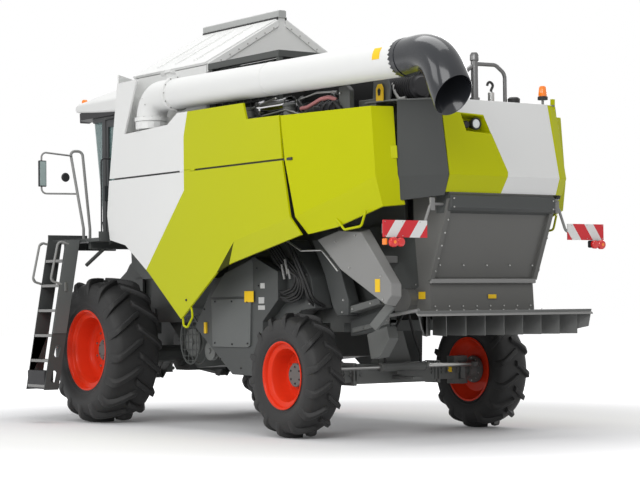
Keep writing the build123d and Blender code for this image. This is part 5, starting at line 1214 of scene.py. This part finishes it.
def roof_crown(shape):
    """The roof's top falls and its edge rises towards the front."""
    for x in (0.1, 0.4, 0.7, 0.95, 1.2):
        bmesh.ops.bisect_plane(shape, geom=[*shape.verts, *shape.edges, *shape.faces], plane_co=(x, 0, 0),
                               plane_no=(1, 0, 0), dist=0.0001)
    for vertex in shape.verts:
        share = min(max((vertex.co.x - 0.0) / 1.485, 0), 1) ** 1.6
        if vertex.co.z > 3.78:
            vertex.co.z -= 0.13 * share
        elif vertex.co.z < 3.68:
            vertex.co.z += 0.095 * share


rounded(white_enamel, "cab_roof", edge=0.03, split_by=roof_crown)
glass_tint = bpy.data.materials.new("glass_tint")
start = fresh_tree(glass_tint)
place = start.node("ShaderNodeTexCoord", {}, outlet="Object")
film = start.node("ShaderNodeTexNoise", {"Vector": place, "Scale": 3.0, "Detail": 4.0})
surface = start.node("ShaderNodeBsdfPrincipled", {
    "Base Color": film.blend((0.14, 0.24, 0.24, 1), (0.18, 0.29, 0.28, 1)), "Roughness": film * 0.03 + 0.01,
    "Alpha": 0.5, "IOR": 1.5})
start.node("ShaderNodeOutputMaterial", {"Surface": surface})
rounded(glass_tint, "cab_glass", "door_glass", edge=0.001)
roof_band = [(-0.15, -0.80), (-0.15, 0.80), (-0.03, 0.93), (1.22, 0.93), (1.34, 0.86), (1.40, 0.72),
             (1.40, -0.72), (1.34, -0.86), (1.22, -0.93), (-0.03, -0.93)]
stacked("roof_edge_band", [prism("z", roof_band, 3.58, 3.70)], black_moulding, edge=0.006)
stacked("cab_seals", [box((0.01, 0.65), (0.945, 0.951), (3.545, 3.56)),
                      box((0.645, 0.66), (0.90, 0.906), (2.2, 3.54)),
                      box((-0.16, -0.152), (-0.78, 0.78), (2.66, 2.70))], seal_rubber_and_shadow, edge=0.001)
piped("wiper", [[(1.24, 0.0, 2.36), (1.30, -0.05, 2.42), (1.36, -0.35, 3.0)]], 0.008, black_moulding,
      bend=0.02, sides=8)

# Inside the cab: the driver's seat with a padded cloth cushion and back on a suspension foot,
# and the column with its steering wheel.
seat_cloth = bpy.data.materials.new("seat_cloth")
start = fresh_tree(seat_cloth)
place = start.node("ShaderNodeTexCoord", {}, outlet="Object")
weave = start.node("ShaderNodeTexWave", {"Vector": place, "Scale": 160.0, "Distortion": 1.2, "Detail": 1.0})
warp = start.node("ShaderNodeTexNoise", {"Vector": place, "Scale": 420.0, "Detail": 2.0})
bump = start.node("ShaderNodeBump", {"Strength": 0.35, "Distance": 0.001, "Height": weave + warp})
surface = start.node("ShaderNodeBsdfPrincipled", {
    "Base Color": weave.blend((0.035, 0.036, 0.038, 1), (0.06, 0.062, 0.066, 1)),
    "Roughness": warp * 0.1 + 0.8, "Normal": bump})
start.node("ShaderNodeOutputMaterial", {"Surface": surface})


def cushion(name, x, y, z):
    """A sewn pad: a rounded box, remeshed, blown up by cloth pressure and smoothed."""
    mesh = bpy.data.meshes.new(name)
    points, faces = box(x, y, z)
    mesh.from_pydata(points, [], faces)
    pad = bpy.data.objects.new(name, mesh)
    scene.collection.objects.link(pad)
    bevel = pad.modifiers.new("edge", "BEVEL")
    bevel.width, bevel.segments = 0.028, 3
    remesh = pad.modifiers.new("remesh", "REMESH")
    remesh.mode, remesh.voxel_size = "VOXEL", 0.008
    settled(pad, 0)
    before = [vertex.co.copy() for vertex in pad.data.vertices]
    cloth = pad.modifiers.new("cloth", "CLOTH")
    cloth.settings.use_pressure = True
    cloth.settings.uniform_pressure_force = 4
    cloth.settings.effector_weights.gravity = 0
    for moment in range(1, 21):
        scene.frame_set(moment)
    settled(pad, 0)
    scene.frame_set(1)
    cap = 0.012
    for vertex, old in zip(pad.data.vertices, before):
        shift = vertex.co - old
        if shift.length > cap:
            vertex.co = old + shift.normalized() * cap
    recess = 0.007
    for vertex in pad.data.vertices:
        for seam in (y[0] + (y[1] - y[0]) * 0.27, y[0] + (y[1] - y[0]) * 0.73):
            near = max(0.0, 1 - abs(vertex.co.y - seam) / 0.012)
            if vertex.normal.z > 0.4 or vertex.normal.x > 0.4:
                vertex.co -= vertex.normal * recess * near
    smooth = pad.modifiers.new("soft", "SUBSURF")
    smooth.levels = smooth.render_levels = 1
    settled(pad, 0)
    pad.data.shade_smooth()
    pad.data.materials.append(seat_cloth)
    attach(pad, "chassis")
    return pad


seat_pad = cushion("seat_cushion", (0.175, 0.62), (-0.235, 0.235), (2.665, 2.748))
cushion("seat_back", (0.078, 0.155), (-0.225, 0.225), (2.78, 3.28))
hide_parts("driver_seat")
stacked("seat_shell", [box((0.07, 0.60), (-0.22, 0.22), (2.64, 2.664)),
                       prism("y", [(0.062, 2.66), (0.075, 2.66), (0.075, 3.25), (0.062, 3.25)], -0.2, 0.2)],
        black_moulding, edge=0.006)
rounded(black_moulding, "console", edge=0.005)

# Platform, ladder and rails: dark sheet plates with slots, light step edges and bent round tube.
# The ladder leans outwards beside the drive wheel, and the mirror hangs on a hoop of the rail.
rounded(skirt_grey, "platform", "ladder", edge=0.004)
ladder_foot, ladder_head = Vector((0, 1.86, 0.38)), Vector((0, 1.572, 2.09))
steps = 6
step_edges = []
for index in range(steps):
    tread = ladder_foot.lerp(ladder_head, (index + 0.1) / steps)
    for inner, outer in ((0.10, 0.126), (-0.046, -0.03)):
        step_edges.append(box((0.165, 0.585), (tread.y + inner, tread.y + outer), (tread.z, tread.z + 0.031)))
stacked("step_edges", step_edges, light_grey, edge=0.002)
stacked("ladder_cover", [prism("x", [(1.528, 2.085), (1.698, 2.085), (1.878, 1.02), (1.708, 1.02)], 0.140,
                               0.149)], skirt_light, edge=0.002)
stacked("ladder_box", [box((0.165, 0.585), (1.86, 1.98), (0.39, 0.60))], black_moulding, edge=0.01)
rail_loop = [(0.66, 1.20, 2.1), (0.66, 1.20, 2.24), (0.985, 1.20, 3.18), (0.96, 1.05, 3.18),
             (0.78, 1.05, 2.24), (0.78, 1.05, 2.1)]
piped("rear_rail", [[(-0.25, 1.46, 2.1), (-0.25, 1.46, 3.0), (-0.25, 1.04, 3.0), (-0.25, 1.04, 2.1)]], 0.009,
      black_moulding, bend=0.04)
rails = piped("rails_bent", [rail_loop], 0.017, light_grey, sides=16)
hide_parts("handrails")
piped("mirror_hoop", [[(0.947, 1.195, 3.12), (0.93, 1.61, 3.15), (0.93, 1.61, 2.66), (0.81, 1.195, 2.66)]],
      0.011, light_grey, sides=12)
piped("platform_brace", [[(-0.05, 1.18, 2.10), (0.30, 1.36, 1.80)]], 0.022, chassis_grey)
piped("ladder_rails", [[(x, 1.672, 2.04), (x, 1.802, 2.07), (x, 1.902, 1.62), (x, 1.762, 1.58)]
                       for x in (0.15, 0.60)], 0.014, light_grey, bend=0.05)
# The mirror's glass is a flat grey-green colour, a painted reflection.
mirror_painted_reflection = sprayed("mirror_painted_reflection", (0.34, 0.42, 0.41), rough=0.12, shine=0.5)
mirror_case = stacked("mirrors_case", [box((0.905, 0.935), (1.555, 1.655), (2.74, 3.05))], black_moulding,
                      edge=0.008)
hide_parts("mirrors")
stacked("mirror_glass", [box((0.9, 0.906), (1.567, 1.643), (2.752, 3.038))], mirror_painted_reflection, edge=0.001)
turned("round_mirror", [(0, 0.0), (0, 0.05), (-0.015, 0.055), (-0.03, 0.045), (-0.03, 0.0)],
       (0.93, 1.30, 2.86), black_moulding, axis="x", segments=32)
stacked("ladder_latch", [box((0.13, 0.152), (1.70, 1.73), (1.50, 1.60))], bolt_steel, edge=0.003)
bolted("ladder_bolts", [(ladder_foot.lerp(ladder_head, share) + Vector((0.149, 0.04, 0)), (-1, 0, 0))
                        for share in (0.06, 0.28, 0.50, 0.72, 0.94)], 0.009, bolt_steel)

# Feeder house: a sheet channel with a slatted chain in its mouth, carried by two lift cylinders.
# The cylinders have painted barrels, turned glands and ground rods.
rounded(chassis_grey, "feeder_house", edge=0.004)
lift_foot, lift_eye, lift_y = Vector((0.25, 0, 0.52)), Vector((1.35, 0, 0.64)), 0.45
lift_way = (lift_eye - lift_foot).normalized()
rounded(chassis_grey, "lift_barrels", edge=0.003)
# name, from and to along the cylinder, radius, material, body
for name, low, high, size, material, body in (("lift_gland", 0.62, 0.685, 0.05, chassis_grey, "lift_barrels"),
                                              ("lift_rod_ground", 0.25, 1.06, 0.0309, chrome, "lift_rods")):
    for side, word in both_sides:
        offset = lift_foot + Vector((0, side * lift_y, 0))
        piped(f"{name}_{word}", [[offset + lift_way * low, offset + lift_way * high]], size, material, body,
              sides=28)
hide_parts("lift_rods")
for side, word in both_sides:
    turned(f"lift_eye_{word}", [(-0.04, 0.0), (-0.04, 0.046), (0.04, 0.046), (0.04, 0.0)],
           lift_eye + Vector((0, side * lift_y, 0)), chassis_grey, "lift_rods", segments=32)
rounded(light_grey, "grain_elevator", edge=0.006)
